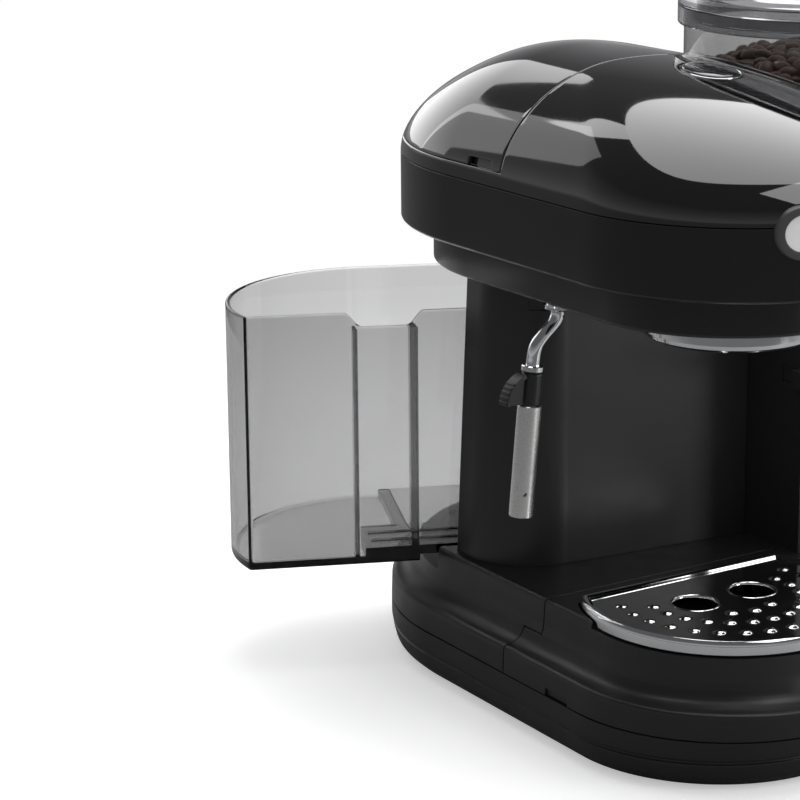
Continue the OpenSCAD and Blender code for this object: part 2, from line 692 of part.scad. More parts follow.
// Curved fin for the thumb: part of a disc, cut level with the grip's lower end.
fin_r = 15.7;
fin_at = [1.5, -20.6];
module thumb_fin(r, width, inner = 0) translate([0, width / 2, 0]) rotate([90, 0, 0])
    linear_extrude(width) intersection() {
        translate(fin_at) difference() {
            circle(r);
            circle(inner);
        }
        translate([-20, fin_at.y]) square([17, 14.1]);
    }
module wand_grip() color(satin) in_wand() difference() {
    union() {
        rotate_extrude() polygon([[0, -20.6], [6, -20.6], [6.15, -20], [6.15, -7], [5.4, -6], [0, -6]]);
        thumb_fin(fin_r, 6.4, fin_r - 2);
        thumb_fin(fin_r - 1, 3);
    }
    translate([0, 0, -30]) cylinder(r = 3.2, h = 24);
    translate([0, 0, -6.4]) cylinder(r = 4, h = 3);
}
module steam_sleeve() color(chrome) in_wand() difference() {
    rotate_extrude() polygon([[3.5, -21], [5.9, -21], [6.5, -21.8], [6.5, -66], [6, -69], [4.4, -71.6],
        [2.2, -71.6], [2.2, -68.6], [3.5, -68.6]]);
    translate([0, 0, -60.6]) rotate([0, 90, 180]) cylinder(r = 1.3, h = 10);
}

// ---------------------------------------------------------------- water tank

tank_wall = 2.2;
tank_end_r = 75;           // round left end of the tank
tank_end = [75, 29];
tank_corner = 12;
module tank_plan(d = 0) {
    intersection() {
        translate(tank_end) circle(tank_end_r - d);
        translate([0, d]) square([tank_end.x, tank_depth - 2 * d]);
    }
    translate([tank_end.x, d]) square([tank_len - tank_end.x - tank_corner, tank_depth - 2 * d]);
    translate([tank_end.x, d]) square([tank_len - tank_end.x - d, tank_depth - tank_corner - d]);
    translate([tank_len - tank_corner, tank_depth - tank_corner]) circle(tank_corner - d);
}
dip = [58, 86];            // lowered stretch of the tank's rim
dip_depth = 7;
floor_from = 62;           // the raised part of the floor starts here
floor_rise = 5.6;
foot_to = 88;              // the tank's foot ends here
foot_h_tank = 3.6;
module rim_dip() translate([0, 6, tank_z + tank_h]) rotate([90, 0, 0]) linear_extrude(10) polygon([
    [dip[0] - 6, 2], [dip[0] - 2.6, -0.6], [dip[0] - 1, -2.4], [dip[0], -4.6],
    [dip[0] + 1.6, -6.4], [dip[0] + 4, -dip_depth], [dip[1] - 4, -dip_depth],
    [dip[1] - 1.6, -6.4], [dip[1], -4.6], [dip[1] + 1, -2.4], [dip[1] + 2.6, -0.6],
    [dip[1] + 6, 2]]);
module water_tank() color(smoke) in_tank() difference() {
    union() {
        difference() {
            translate([0, 0, tank_z]) linear_extrude(tank_h) tank_plan();
            translate([0, 0, tank_z + 3]) linear_extrude(tank_h) tank_plan(tank_wall);
        }
        // Raised floor at the valve's end and ribs across it
        translate([0, 0, tank_z + 2]) linear_extrude(floor_rise) intersection() {
            tank_plan(1);
            translate([floor_from, 0]) square(200);
        }
        intersection() {
            for (v = [24, 58, 92]) translate([0, v, tank_z + 2]) cube([floor_from + 2, 2, 4.4]);
            translate([0, 0, tank_z]) linear_extrude(20) tank_plan(1);
        }
        // Channel behind the lowered rim
        for (u = dip) translate([u - 1, 1.2, tank_z + 1.6]) cube([2, 9, tank_h - dip_depth - 3]);
    }
    rim_dip();
    translate([foot_to, -1, tank_z - 1]) cube([200, tank_depth + 2, 1 + foot_h_tank]);
    translate([tank_len - 20, valve_v, tank_z + 16]) rotate([0, 90, 0]) cylinder(r = 8, h = 30);
}
module in_valve() translate([tank_len, valve_v, tank_z + 16]) rotate([0, 90, 0]) children();
module tank_valve() color([0.2, 0.2, 0.2]) in_tank() in_valve() rotate_extrude() polygon([[0, -19],
    [7, -19], [8, -18], [8, 0], [8.6, 0], [8.6, 1.6], [5.3, 1.6], [5.3, -8], [4.2, -8.6],
    [4.2, -17], [0, -17]]);
module valve_spring() color(steel) in_tank() in_valve() translate([0, 0, -17])
    coil(r = 3.2, wire = 0.45, pitch = 2, turns = 4, sides = 6);
module tank_spigot() color(satin) in_bay() in_valve() difference() {
    rotate_extrude() polygon([[0, -6], [4.2, -6], [5, -5], [5, 6], [7.8, 6], [7.8, 7.05], [5, 7.05],
        [5, 20], [0, 20]]);
    translate([0, 0, -10]) cylinder(r = 2.6, h = 40);
}

// A helical wire.
module coil(r, wire, pitch, turns, sides) {
    steps = 12 * turns;
    ring = [for (i = [0 : sides - 1]) 360 * i / sides];
    points = [for (k = [0 : steps]) let (t = 30 * k) for (a = ring)
        [(r + wire * cos(a)) * cos(t), (r + wire * cos(a)) * sin(t),
            wire + pitch * k / 12 + wire * sin(a)]];
    tube_faces(points, sides, steps);
}
// Closed faces over rings of points.
module tube_faces(points, n, last) polyhedron(points, concat([[for (i = [0 : n - 1]) i]],
    [for (k = [0 : last - 1]) for (i = [0 : n - 1])
        let (j = (i + 1) % n, a = k * n + i, b = k * n + j) each [[a, b + n, b], [a, a + n, b + n]]],
    [[for (i = [n - 1 : -1 : 0]) last * n + i]]), convexity = 8);

// ---------------------------------------------------------------- hopper and grinder

module at_grind() translate([grind.x, grind.y, 0]) children();
collar_r = hopper_r + 5;
collar_z = 246;
collar_n = 60;
// The collar's beaded edge follows the dome round the hopper.
function bead(t) =
    let (d = [cos(t), sin(t)], at = grind + (hopper_r + 3) * d, h = seam_z + dome_rise(at.x, at.y))
    [for (p = [[0.6, collar_z - 0.6], [0.6, h + 0.6], [1.6, h + 1.5], [3.6, h + 1.5],
        [collar_r - hopper_r, h + 0.4], [collar_r - hopper_r, collar_z - 0.6]])
        [grind.x + (hopper_r + p[0]) * d.x, grind.y + (hopper_r + p[0]) * d.y, p[1]]];
module hopper_collar() color(gloss) {
    n = len(bead(0));
    points = [for (k = [0 : collar_n - 1]) each bead(360 * k / collar_n)];
    polyhedron(points, [for (k = [0 : collar_n - 1]) for (i = [0 : n - 1])
        let (j = (i + 1) % n, m = (k + 1) % collar_n, a = k * n + i, b = k * n + j)
        each [[a, m * n + j, b], [a, m * n + i, m * n + j]]], convexity = 8);
    at_grind() translate([0, 0, collar_z]) difference() {
        cylinder(r = collar_r - 2.4, h = 2.6);
        translate([0, 0, -1]) cylinder(r = 24.6, h = 5);
    }
}
hopper_top = hopper_lid_z + 8;
module bean_hopper() color(smoke) at_grind() difference() {
    rotate_extrude() polygon([[21, 241], [24, 241], [24, 250], [66, 262], [66, 249],
        [hopper_r, 249], [hopper_r, hopper_top], [hopper_r - 2.4, hopper_top],
        [hopper_r - 2.4, 266], [21, 252.4]]);
    for (a = [0, 180]) rotate([0, 0, a]) translate([60, -6, 240]) cube([20, 12, 13]);
}
module hopper_lid() color(smoke) at_grind() rotate_extrude() polygon([[0, 326.6], [40, 326],
    [62, 323.4], [64, 321], [64, 312], [66.8, 312], [66.8, 318.6], [hopper_r + 0.6, 318.6],
    [hopper_r + 0.6, hopper_lid_z], [72.6, hopper_lid_z], [73, 311], [73, 323], [72, 326],
    [66, 329], [50, 330.6], [26, 331.4], [25, 330.2], [0, 330.2]]);
module coffee_beans() color([0.22, 0.12, 0.06]) at_grind() rotate_extrude() polygon([[0, 253],
    [20.4, 253], [67, 267.4], [67, 282], [56, 288], [38, 295], [18, 299], [0, 300]]);

burr_teeth = 24;
module burr_housing() color(satin) difference() {
    at_grind() rotate_extrude() polygon([[6, 218], [27, 218], [27, tier_z + wall], [30, tier_z + wall],
        [30, 246], [24.6, 246], [24.6, 240.2], [27, 240.2], [27, 221], [6, 221]]);
    translate([chute.x, chute.y, 230]) rotate([-90, 0, 0]) cylinder(r = 8, h = 50);
}
module upper_burr() color(steel) at_grind() difference() {
    rotate_extrude() polygon([[20.4, 228.4], [27, 228.4], [27, 240.2], [19, 240.2], [16, 234]]);
    for (i = [0 : burr_teeth - 1]) rotate([0, 0, 360 * i / burr_teeth])
        translate([14, -0.8, 226]) cube([8.4, 1.6, 20]);
}
module lower_burr() color(steel) at_grind() difference() {
    rotate_extrude() polygon([[4, 224], [22, 224], [22, 226], [19.4, 227.8], [15.2, 234], [9, 240],
        [4, 240]]);
    for (i = [0 : burr_teeth / 2 - 1]) rotate([0, 0, 360 * i / burr_teeth * 2])
        translate([12, -1, 227.6]) rotate([0, -8, 24]) cube([14, 2, 16]);
}
module burr_shaft() color(steel) at_grind() {
    translate([0, 0, 188]) cylinder(r = 4, h = 52);
    translate([0, 0, 240]) cylinder(r = 6, h = 3, $fn = 6);
}
module grinder_motor() color("dimgray") at_grind() difference() {
    union() {
        rotate_extrude() polygon([[0, 108], [8, 108], [8, 112], [19.6, 112], [21, 113.6], [21, 185],
            [19, 187.6], [12, 187.6], [12, 195], [21.8, 195], [21.8, tier_z], [0, tier_z]]);
        for (a = [45 : 90 : 315]) rotate([0, 0, a]) translate([17, 0, 186]) cylinder(r = 2.4, h = 10);
    }
    translate([0, 0, 186]) cylinder(r = 4.06, h = 20);
    for (i = [0 : 11]) rotate([0, 0, 30 * i]) translate([19, -1.6, 122]) cube([4, 3.2, 40]);
}
module dose_chute() color(satin) difference() {
    union() {
        translate([chute.x, chute.y, 181]) cylinder(r = 13, h = 58);
        translate([chute.x, chute.y, 230]) rotate([-90, 0, 0]) cylinder(r = 10, h = 40);
        translate([chute.x, chute.y, tier_z + wall]) cylinder(r = 17, h = 2);
    }
    difference() {
        translate([chute.x, chute.y, 180]) cylinder(r = 11, h = 57);
        translate([chute.x, chute.y, 181]) difference() {
            cylinder(r = 12, h = 4);
            translate([0, 0, -1]) cylinder(r1 = 9.4, r2 = 11.4, h = 6);
        }
    }
    translate([chute.x, chute.y, 230]) rotate([-90, 0, 0]) cylinder(r = 8, h = 60);
    at_grind() cylinder(r = 30, h = 300);
}

// Fork that carries the filter holder under the chute.
module holder_cradle() color(satin) for (s = [-1, 1]) difference() {
    translate([grind.x + s * 36 - 3, -125, 144]) cube([6, 125 + tower_front + 2.6, 8.4]);
    translate([grind.x + s * 36 - 4, -126, 148]) rotate([-14, 0, 0]) translate([0, -20, 0]) cube([8, 20, 20]);
    translate([grind.x + s * 32 - 3, -104, 149.4]) cube([6, 40, 8]);
}

// ---------------------------------------------------------------- water system and board

pump_at = [-80, 14];
pump_r = 13.6;
pump_frame = [20, 22, 36];      // the steel frame round its coil, clear of the column's rear wall
module pump() color("dimgray") translate([pump_at.x, pump_at.y, 0]) {
    rotate_extrude() polygon([[0, 68], [3, 68], [3, 78], [8, 80], [8, 88], [pump_r, 88],
        [pump_r, 132], [8, 132], [8, 142], [5, 144], [5, 150], [3, 150], [3, 158], [0, 158]]);
    translate([-13, -12, 92]) cube(pump_frame);
}
module pump_mounts() color([0.1, 0.1, 0.1]) for (z = [82, 136]) difference() {
    translate([0, 0, z]) linear_extrude(4) intersection() {
        translate(pump_at - [16, 20]) square([32, 40]);
        column_plan(wall);
    }
    translate([pump_at.x, pump_at.y, z - 1]) cylinder(r = 8, h = 6);
}
module thermoblock() color("silver") difference() {
    translate([brew.x - 32, brew.y - 30, 232]) cube([61, 76, 24]);
    for (i = [0 : 7]) translate([brew.x - 33, brew.y - 24 + i * 9, 248]) cube([66, 4, 10]);
}
module steam_valve() color("dimgray") {
    translate([-104, -52, 232]) cube([19.5, 20, 18]);
    translate([-96, -42, 250]) cylinder(r = 7, h = 14);
    translate([-96, -42, 214]) cylinder(r = 4, h = 18);
}
hose_r = 3.4;
// Straight stretches between these points are rounded at each bend.
pump_hose = [[-80, 14, 158], [-80, 14, 176], [-84, 6, 190], [-84, 6, 236], [-77, 0, 244],
    [-60, -12, 244], [-60, -42, 244]];
steam_hose = [[-104, -42, 241], [-111.6, -42, 241], [-114, -44, 232], [-114.5, -45, 220],
    [-114.5, -45, 207.6]];
function along(p) = [for (i = [0 : len(p) - 1]) let (a = p[max(0, i - 1)],
    b = p[min(len(p) - 1, i + 1)]) (b - a) / norm(b - a)];
function rounded(p) = concat([p[0]],
    [for (i = [1 : len(p) - 2]) each [0.25 * p[i - 1] + 0.75 * p[i], 0.75 * p[i] + 0.25 * p[i + 1]]],
    [p[len(p) - 1]]);
module hose(route, r, n = 8) {
    p = rounded(rounded(route));
    t = along(p);
    side = [0.31, 0.93, 0.2];
    points = [for (i = [0 : len(p) - 1]) let (u = cross(side, t[i]) / norm(cross(side, t[i])),
        v = cross(t[i], u)) for (k = [0 : n - 1])
        p[i] + r * (cos(360 * k / n) * u + sin(360 * k / n) * v)];
    tube_faces(points, n, len(p) - 1);
}
module water_hoses() color([0.85, 0.85, 0.83, 0.7]) {
    hose(pump_hose, hose_r);
    hose(steam_hose, 2.4);
}
board_at = [20, 40, 210];
module circuit_board() translate(board_at) {
    color([0.1, 0.35, 0.15]) cube([60, 44, 1.6]);
    for (x = [6, 54]) for (y = [6, 38]) color("gray")
        translate([x, y, tier_z + wall - board_at.z]) cylinder(r = 2.4, h = board_at.z - tier_z - wall);
    color([0.1, 0.1, 0.1]) translate([14, 14, 1.6]) cube([16, 12, 6]);
    color("silver") for (i = [0 : 2]) translate([36 + i * 8, 34, 1.6]) cylinder(r = 3.2, h = 12);
    color([0.9, 0.9, 0.85]) translate([34, 6, 1.6]) cube([20, 7, 9]);
}

// ---------------------------------------------------------------- nodes

plinth();
base_plate();
rubber_feet();
base_screws();
deck();
tray_drawer();
drip_plate();
column();
grinder_tower();
rear_cover();
cord_gland();
head_tier();
head_band();
dome_cover();
rear_lid();
lid_hinge_pin();
fill_deck();
top_button_rim();
top_button();
panel_bezel();
panel_plate();
button_single();
button_double();
button_steam();
brew_ring();
brew_group();
group_seal();
shower_screen();
shower_screw();
wand_socket();
steam_wand();
wand_collar();
wand_grip();
steam_sleeve();
water_tank();
tank_valve();
valve_spring();
tank_spigot();
hopper_collar();
bean_hopper();
hopper_lid();
coffee_beans();
burr_housing();
upper_burr();
lower_burr();
burr_shaft();
grinder_motor();
dose_chute();
holder_cradle();
pump();
pump_mounts();
thermoblock();
steam_valve();
water_hoses();
circuit_board();
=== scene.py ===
"""Espresso machine with a grinder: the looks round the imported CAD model, in the CAD frame.

Blender works in metres. The shapes here are written in millimetres, and solid() scales them by MM.
Each make_ function builds the pieces of one part and says which CAD nodes they stand for.
"""
import json
import math
import random

import bmesh
import bpy
from mathutils import Matrix, Vector


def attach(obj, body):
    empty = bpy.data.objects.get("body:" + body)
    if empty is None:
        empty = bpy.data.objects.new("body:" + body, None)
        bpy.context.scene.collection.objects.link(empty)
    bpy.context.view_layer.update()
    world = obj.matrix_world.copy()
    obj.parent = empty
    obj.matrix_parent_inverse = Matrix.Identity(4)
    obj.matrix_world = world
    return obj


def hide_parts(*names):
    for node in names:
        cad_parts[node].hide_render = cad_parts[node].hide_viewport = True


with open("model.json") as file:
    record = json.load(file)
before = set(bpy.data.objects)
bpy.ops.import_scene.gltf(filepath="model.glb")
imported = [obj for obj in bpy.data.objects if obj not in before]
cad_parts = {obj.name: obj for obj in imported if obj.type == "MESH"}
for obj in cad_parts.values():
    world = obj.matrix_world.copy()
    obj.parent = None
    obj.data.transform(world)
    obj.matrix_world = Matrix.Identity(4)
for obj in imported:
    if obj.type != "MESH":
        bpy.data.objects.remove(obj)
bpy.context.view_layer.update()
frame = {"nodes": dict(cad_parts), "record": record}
nodes = frame["nodes"]
MM = 0.001

# ---- camera

CAMERA_AT = (-760.7, -971.4, 456.1)      # mm
CAMERA_TURN = -33.57                     # degrees round Z, 0 looks along +Y
CAMERA_DIP = 13.906
FOCAL, SENSOR = 118.62, 36                # mm
SHIFT = (-0.12286, -0.05854)


def make_camera():
    data = bpy.data.cameras.new("camera")
    data.sensor_width = SENSOR
    data.lens = FOCAL
    data.shift_x, data.shift_y = SHIFT
    data.clip_start = 0.05
    data.clip_end = 30
    camera = bpy.data.objects.new("camera", data)
    camera.location = Vector(CAMERA_AT) * MM
    camera.rotation_euler = (math.radians(90 - CAMERA_DIP), 0, math.radians(CAMERA_TURN))
    bpy.context.scene.collection.objects.link(camera)
    bpy.context.scene.camera = camera


# ---- materials

def node_of(tree, kind, **inputs):
    """A node, with values or links for its inputs. Inputs named 0, 1 and so on are written _0, _1."""
    node = tree.nodes.new(kind)
    for name, value in inputs.items():
        socket = node.inputs[int(name[1:]) if name[0] == "_" else name.replace("_", " ")]
        if isinstance(value, bpy.types.NodeSocket):
            tree.links.new(value, socket)
        else:
            socket.default_value = value
    return node


class Shader:
    """A small node graph round one Principled shader."""

    def __init__(self, name):
        self.material = bpy.data.materials.new(name)
        self.material.use_nodes = True
        self.tree = self.material.node_tree
        self.bsdf = self.tree.nodes["Principled BSDF"]
        self.place = self.tree.nodes.new("ShaderNodeTexCoord").outputs["Object"]

    def set(self, **values):
        """Numbers on the shader's own sockets. A space in a socket's name is written _."""
        for key, value in values.items():
            self.bsdf.inputs[key.replace("_", " ")].default_value = value

    def link(self, a, b):
        self.tree.links.new(a, b)

    def noise(self, scale, detail, rough=0.5, stretch=None):
        """Noise over the object. Stretch scales each axis, for marks that run one way."""
        place = self.place
        if stretch:
            mapping = node_of(self.tree, "ShaderNodeMapping", Vector=place, Scale=stretch)
            place = mapping.outputs["Vector"]
        node = node_of(self.tree, "ShaderNodeTexNoise", Vector=place, Scale=scale, Detail=detail,
                       Roughness=rough)
        return node.outputs["Fac"]

    def ramp(self, source, low, high, a, b):
        """Maps source from [low, high] to the colours or greys a and b."""
        node = node_of(self.tree, "ShaderNodeValToRGB", Fac=source)
        node.color_ramp.elements[0].position = low
        node.color_ramp.elements[1].position = high
        for element, value in zip(node.color_ramp.elements, (a, b)):
            element.color = (*value, 1) if isinstance(value, tuple) else (value, value, value, 1)
        return node.outputs["Color"]

    def bump(self, source, strength, distance):
        node = node_of(self.tree, "ShaderNodeBump", Strength=strength, Distance=distance, Height=source)
        self.link(node.outputs["Normal"], self.bsdf.inputs["Normal"])

    def colour(self, source, low, high, a, b):
        self.link(self.ramp(source, low, high, a, b), self.bsdf.inputs["Base Color"])

    def rough(self, source, low, high, a, b):
        self.link(self.ramp(source, low, high, a, b), self.bsdf.inputs["Roughness"])


def scaled(colour, share):
    return tuple(c * share for c in colour)


def satin_plastic(name, colour, rough_low=0.32, rough_high=0.4, grain=0.07):
    """Moulded plastic with a fine spark-eroded grain."""
    s = Shader(name)
    s.set(IOR=1.5)
    s.colour(s.noise(30, 4), 0.3, 0.7, colour, scaled(colour, 1.25))
    s.rough(s.noise(90, 2), 0.3, 0.7, rough_low, rough_high)
    s.bump(s.noise(2600, 2, 0.6), grain, 0.00006)
    return s.material


def gloss_plastic(name, colour, rough=0.045, coat=1.0):
    """Polished plastic: faint orange peel and handling haze."""
    s = Shader(name)
    s.set(IOR=1.52, Coat_Weight=coat, Coat_Roughness=rough * 0.7)
    s.colour(s.noise(12, 5), 0.35, 0.75, colour, scaled(colour, 1.4))
    s.rough(s.noise(40, 4), 0.4, 0.8, rough, rough + 0.035)
    s.bump(s.noise(240, 2), 0.04, 0.00008)
    return s.material


def polished_metal(name, colour=(0.86, 0.87, 0.88), rough=0.06, brushed=None):
    """Chrome or steel, with fine polishing marks along one direction where brushed."""
    s = Shader(name)
    s.set(Metallic=1.0)
    s.colour(s.noise(18, 4), 0.3, 0.7, scaled(colour, 0.94), colour)
    if brushed:
        lines = s.noise(900, 3, 0.6, brushed)
        s.rough(lines, 0.3, 0.7, rough, rough + 0.16)
        s.bump(lines, 0.12, 0.00005)
    else:
        s.rough(s.noise(60, 4), 0.4, 0.8, rough, rough + 0.05)
        s.bump(s.noise(500, 2), 0.03, 0.00005)
    return s.material


def clear_plastic(name, colour, rough=0.03, weight=1.0, smoke=0.0):
    """Clear plastic with faint flow marks. Smoke is what it absorbs for each metre of its thickness."""
    s = Shader(name)
    s.set(IOR=1.46, Transmission_Weight=weight)
    s.colour(s.noise(8, 3), 0.3, 0.7, colour, scaled(colour, 0.96))
    s.rough(s.noise(50, 4), 0.4, 0.8, rough, rough + 0.03)
    s.bump(s.noise(120, 2), 0.03, 0.0001)
    if smoke:
        haze = node_of(s.tree, "ShaderNodeVolumeAbsorption", Color=(0, 0, 0, 1), Density=smoke)
        s.link(haze.outputs["Volume"], s.tree.nodes["Material Output"].inputs["Volume"])
    return s.material


def rubber(name):
    """Dull black rubber with a coarse skin."""
    s = Shader(name)
    s.set(IOR=1.45)
    s.colour(s.noise(80, 3), 0.3, 0.7, 0.018, 0.03)
    s.rough(s.noise(160, 3), 0.3, 0.7, 0.65, 0.8)
    s.bump(s.noise(1500, 2), 0.2, 0.0001)
    return s.material


SATIN = satin_plastic("satin_black", (0.01, 0.01, 0.0105))
GLOSS = gloss_plastic("gloss_black", (0.003, 0.003, 0.0033))
SEMI_GLOSS = gloss_plastic("semi_gloss_black", (0.0032, 0.0032, 0.0035), 0.2, 0.3)
CHROME = polished_metal("chrome")
BRUSHED = polished_metal("brushed_steel", (0.74, 0.74, 0.75), 0.2, (1, 1, 24))
STEEL = polished_metal("plate_steel", (0.72, 0.72, 0.73), 0.12)
TUBE = polished_metal("brushed_tube", (0.78, 0.77, 0.76), 0.2, (20, 20, 0.5))
SMOKE = clear_plastic("smoke_clear", (0.9, 0.9, 0.905), smoke=180)
LID_SMOKE = clear_plastic("lid_smoke", (0.34, 0.34, 0.35))
RUBBER = rubber("rubber")
DARK_METAL = polished_metal("dark_metal", (0.2, 0.2, 0.21), 0.35, (1, 1, 12))
ALUMINIUM = polished_metal("aluminium", (0.72, 0.72, 0.73), 0.3, (8, 1, 1))
WHITE = gloss_plastic("white_panel", (0.88, 0.88, 0.88), 0.12, 0.3)
DARK_PLASTIC = satin_plastic("dark_plastic", (0.02, 0.02, 0.022))
HOSE = clear_plastic("hose_silicone", (0.8, 0.8, 0.78), 0.3, 0.4)
BOARD = satin_plastic("board_green", (0.02, 0.12, 0.05), 0.3, 0.4)
BEAN = satin_plastic("roasted_bean", (0.1, 0.045, 0.024), 0.3, 0.45, 0.3)
BEZEL = satin_plastic("bezel_grey", (0.06, 0.06, 0.063), 0.28, 0.36, 0.03)

BY_SLOT = {
    "satin_black": SATIN, "gloss_black": GLOSS, "chrome": CHROME, "steel": BRUSHED,
    "dark_metal": DARK_METAL, "rubber": RUBBER, "white_panel": WHITE, "smoke_clear": SMOKE,
    "lid_smoke": LID_SMOKE, "dark_plastic": DARK_PLASTIC, "beans": BEAN, "aluminium": ALUMINIUM,
    "hose": HOSE, "board": BOARD,
}


def dress_cad_nodes():
    """Every CAD node gets its slot's material, also where a piece replaces it."""
    for part in frame["record"]["subparts"]:
        mesh = nodes[part["node"]].data
        mesh.materials.clear()
        mesh.materials.append(BY_SLOT[part["material_slot"]])


# ---- mesh tools, in millimetres

SHARP_ANGLE = 34             # degrees
WELD = 0.01                  # slivers shorter than this are welded away


def apply_modifiers(piece):
    shown = piece.evaluated_get(bpy.context.evaluated_depsgraph_get())
    mesh = bpy.data.meshes.new_from_object(shown)
    piece.modifiers.clear()
    old, piece.data = piece.data, mesh
    bpy.data.meshes.remove(old)


def mesh_of(points, faces):
    bm = bmesh.new()
    corners = [bm.verts.new([c * MM for c in p]) for p in points]
    for face in faces:
        bm.faces.new([corners[i] for i in face])
    return bm


def piece_of(name, bm, material):
    """Makes the bmesh an object, and uses it up."""
    mesh = bpy.data.meshes.new(name)
    bm.to_mesh(mesh)
    bm.free()
    if material:
        mesh.materials.append(material)
    piece = bpy.data.objects.new(name, mesh)
    bpy.context.scene.collection.objects.link(piece)
    return piece


def solid(name, points, faces, material):
    """A closed piece with its normals outwards."""
    bm = mesh_of(points, faces)
    bmesh.ops.recalc_face_normals(bm, faces=bm.faces)
    return piece_of(name, bm, material)


def skin(name, rings, material=None, closed=False):
    """Joins rings of equal length. The two ends are capped, or joined where closed."""
    n, m = len(rings[0]), len(rings)
    faces = []
    for j in range(m if closed else m - 1):
        a, b = j * n, (j + 1) % m * n
        faces += [(a + i, a + (i + 1) % n, b + (i + 1) % n, b + i) for i in range(n)]
    if not closed:
        faces += [tuple(range(n)), tuple(range((m - 1) * n, m * n))]
    return solid(name, [p for ring in rings for p in ring], faces, material)


def prism(outline, z0, z1):
    """An upright tool for combine()."""
    return skin("tool", [[(x, y, z) for x, y in outline] for z in (z0, z1)])


def block(low, high):
    (x0, y0, z0), (x1, y1, z1) = low, high
    return prism([(x0, y0), (x1, y0), (x1, y1), (x0, y1)], z0, z1)


def disc(at, r, z0, z1, n=160):
    return prism(arc(at, r, 0, 360 - 360 / n, n - 1), z0, z1)


def around(n):
    """The angles of n points on a circle."""
    return [2 * math.pi * i / n for i in range(n)]


def revolve(name, at, profile, material, n):
    """A turned piece round a vertical axis. The profile is a closed row of (radius, z)."""
    rings = [[(at[0] + r * math.cos(t), at[1] + r * math.sin(t), z) for r, z in profile]
             for t in around(n)]
    return skin(name, rings, material, closed=True)


def arc(c, r, a, b, n):
    """Points round c from a to b degrees, in n steps."""
    return [(c[0] + r * math.cos(t), c[1] + r * math.sin(t))
            for t in (math.radians(a + (b - a) * i / n) for i in range(n + 1))]


def combine(piece, tool, mode="DIFFERENCE"):
    """Cuts or joins exactly, and uses the tool up."""
    step = piece.modifiers.new("combine", "BOOLEAN")
    step.operation = mode
    step.solver = "EXACT"
    step.object = tool
    apply_modifiers(piece)
    mesh = tool.data
    bpy.data.objects.remove(tool)
    bpy.data.meshes.remove(mesh)
    return piece


def placed(x, y, z, axis, degrees):
    """Turned about an axis, then moved from the origin to (x, y, z)."""
    return Matrix.Translation((x * MM, y * MM, z * MM)) @ Matrix.Rotation(math.radians(degrees), 4, axis)


def moved(piece, turn):
    """Moves the mesh itself, so that the piece stays at the origin."""
    piece.data.transform(turn)
    return piece


def smooth(piece):
    """Smooth shading that keeps the edges sharper than SHARP_ANGLE."""
    piece.data.shade_smooth()
    piece.data.set_sharp_from_angle(angle=math.radians(SHARP_ANGLE))
    weighted = piece.modifiers.new("weighted", "WEIGHTED_NORMAL")
    weighted.keep_sharp = True
    return piece


def sharp_edges(bm, angle):
    limit = math.radians(angle)
    return [e for e in bm.edges if len(e.link_faces) == 2 and e.calc_face_angle(0) > limit]


def soften(piece, width=0.35, angle=32, steps=2):
    """Rounds the edges that a cut left. The slivers beside them are welded away first."""
    bm = bmesh.new()
    bm.from_mesh(piece.data)
    bmesh.ops.remove_doubles(bm, verts=bm.verts, dist=WELD * MM)
    edge_verts = {v for e in sharp_edges(bm, angle) for v in e.verts}
    reach = 1.5 * width * MM
    near = {}
    for v in (v for v in bm.verts if v in edge_verts):
        for e in v.link_edges:
            other, length = e.other_vert(v), e.calc_length()
            if other not in edge_verts and length < min(reach, near.get(other, (reach,))[0]):
                near[other] = (length, v)
    bmesh.ops.weld_verts(bm, targetmap={v: target for v, (_, target) in near.items()})
    bmesh.ops.dissolve_degenerate(bm, dist=WELD * MM, edges=bm.edges)
    bmesh.ops.bevel(bm, geom=sharp_edges(bm, angle), offset=width * MM, offset_type="OFFSET",
                    segments=steps, profile=0.5, affect="EDGES", clamp_overlap=False)
    bm.to_mesh(piece.data)
    bm.free()
    return smooth(piece)


def mix(a, b, share):
    return tuple(p + (q - p) * share for p, q in zip(a, b))


def eased(levels):
    """Rounds the corners of a row of levels. A level starts with its width and ends with its height."""
    reach = 0.9
    for _ in range(3):
        row = [levels[0]]
        for a, b in zip(levels, levels[1:]):
            length = math.dist((a[0], a[-1]), (b[0], b[-1]))
            share = min(0.25, reach / max(1e-6, length))
            row += [mix(a, b, share), mix(a, b, 1 - share)]
        levels = row + [levels[-1]]
        reach *= 0.5
    return levels


BODY = {node: body for body, names in frame["record"]["behaviour"]["bodies"].items() for node in names}


def stand_for(piece, *names):
    """The piece takes the place of the CAD nodes, on their body."""
    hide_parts(*names)
    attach(piece, BODY[names[0]])
    return piece


# ---- outlines of the base

GAP = 0.4
JOINT_Z, DECK_Z, BAY_Z = 25, 62, 51
TIER_Z, BAND_Z, SEAM_Z = 199, 217, 249
HALF_GAP = 52.5
BREW, GRIND = (-HALF_GAP, -88), (HALF_GAP, -30)
VALLEY_R = 25
DRUM_R = 66
DRUM_HALF = HALF_GAP + DRUM_R


def base_ring(half, r, yc, yb, rb, z):
    """Two round lobes in front with a filleted valley, straight sides and large rear corners."""
    cx = half - r
    h = math.sqrt((r + VALLEY_R) ** 2 - cx * cx)
    t = math.degrees(math.atan2(h, cx))
    left = (arc((0, yc - h), VALLEY_R, 90, 180 - t, 8) + arc((-cx, yc), r, -t - 2, -180, 56)
            + arc((-half + rb, yb - rb), rb, 180, 90, 36))
    ring = [(-x, y) for x, y in left] + left[:0:-1]
    return [(x, y, z) for x, y in ring]


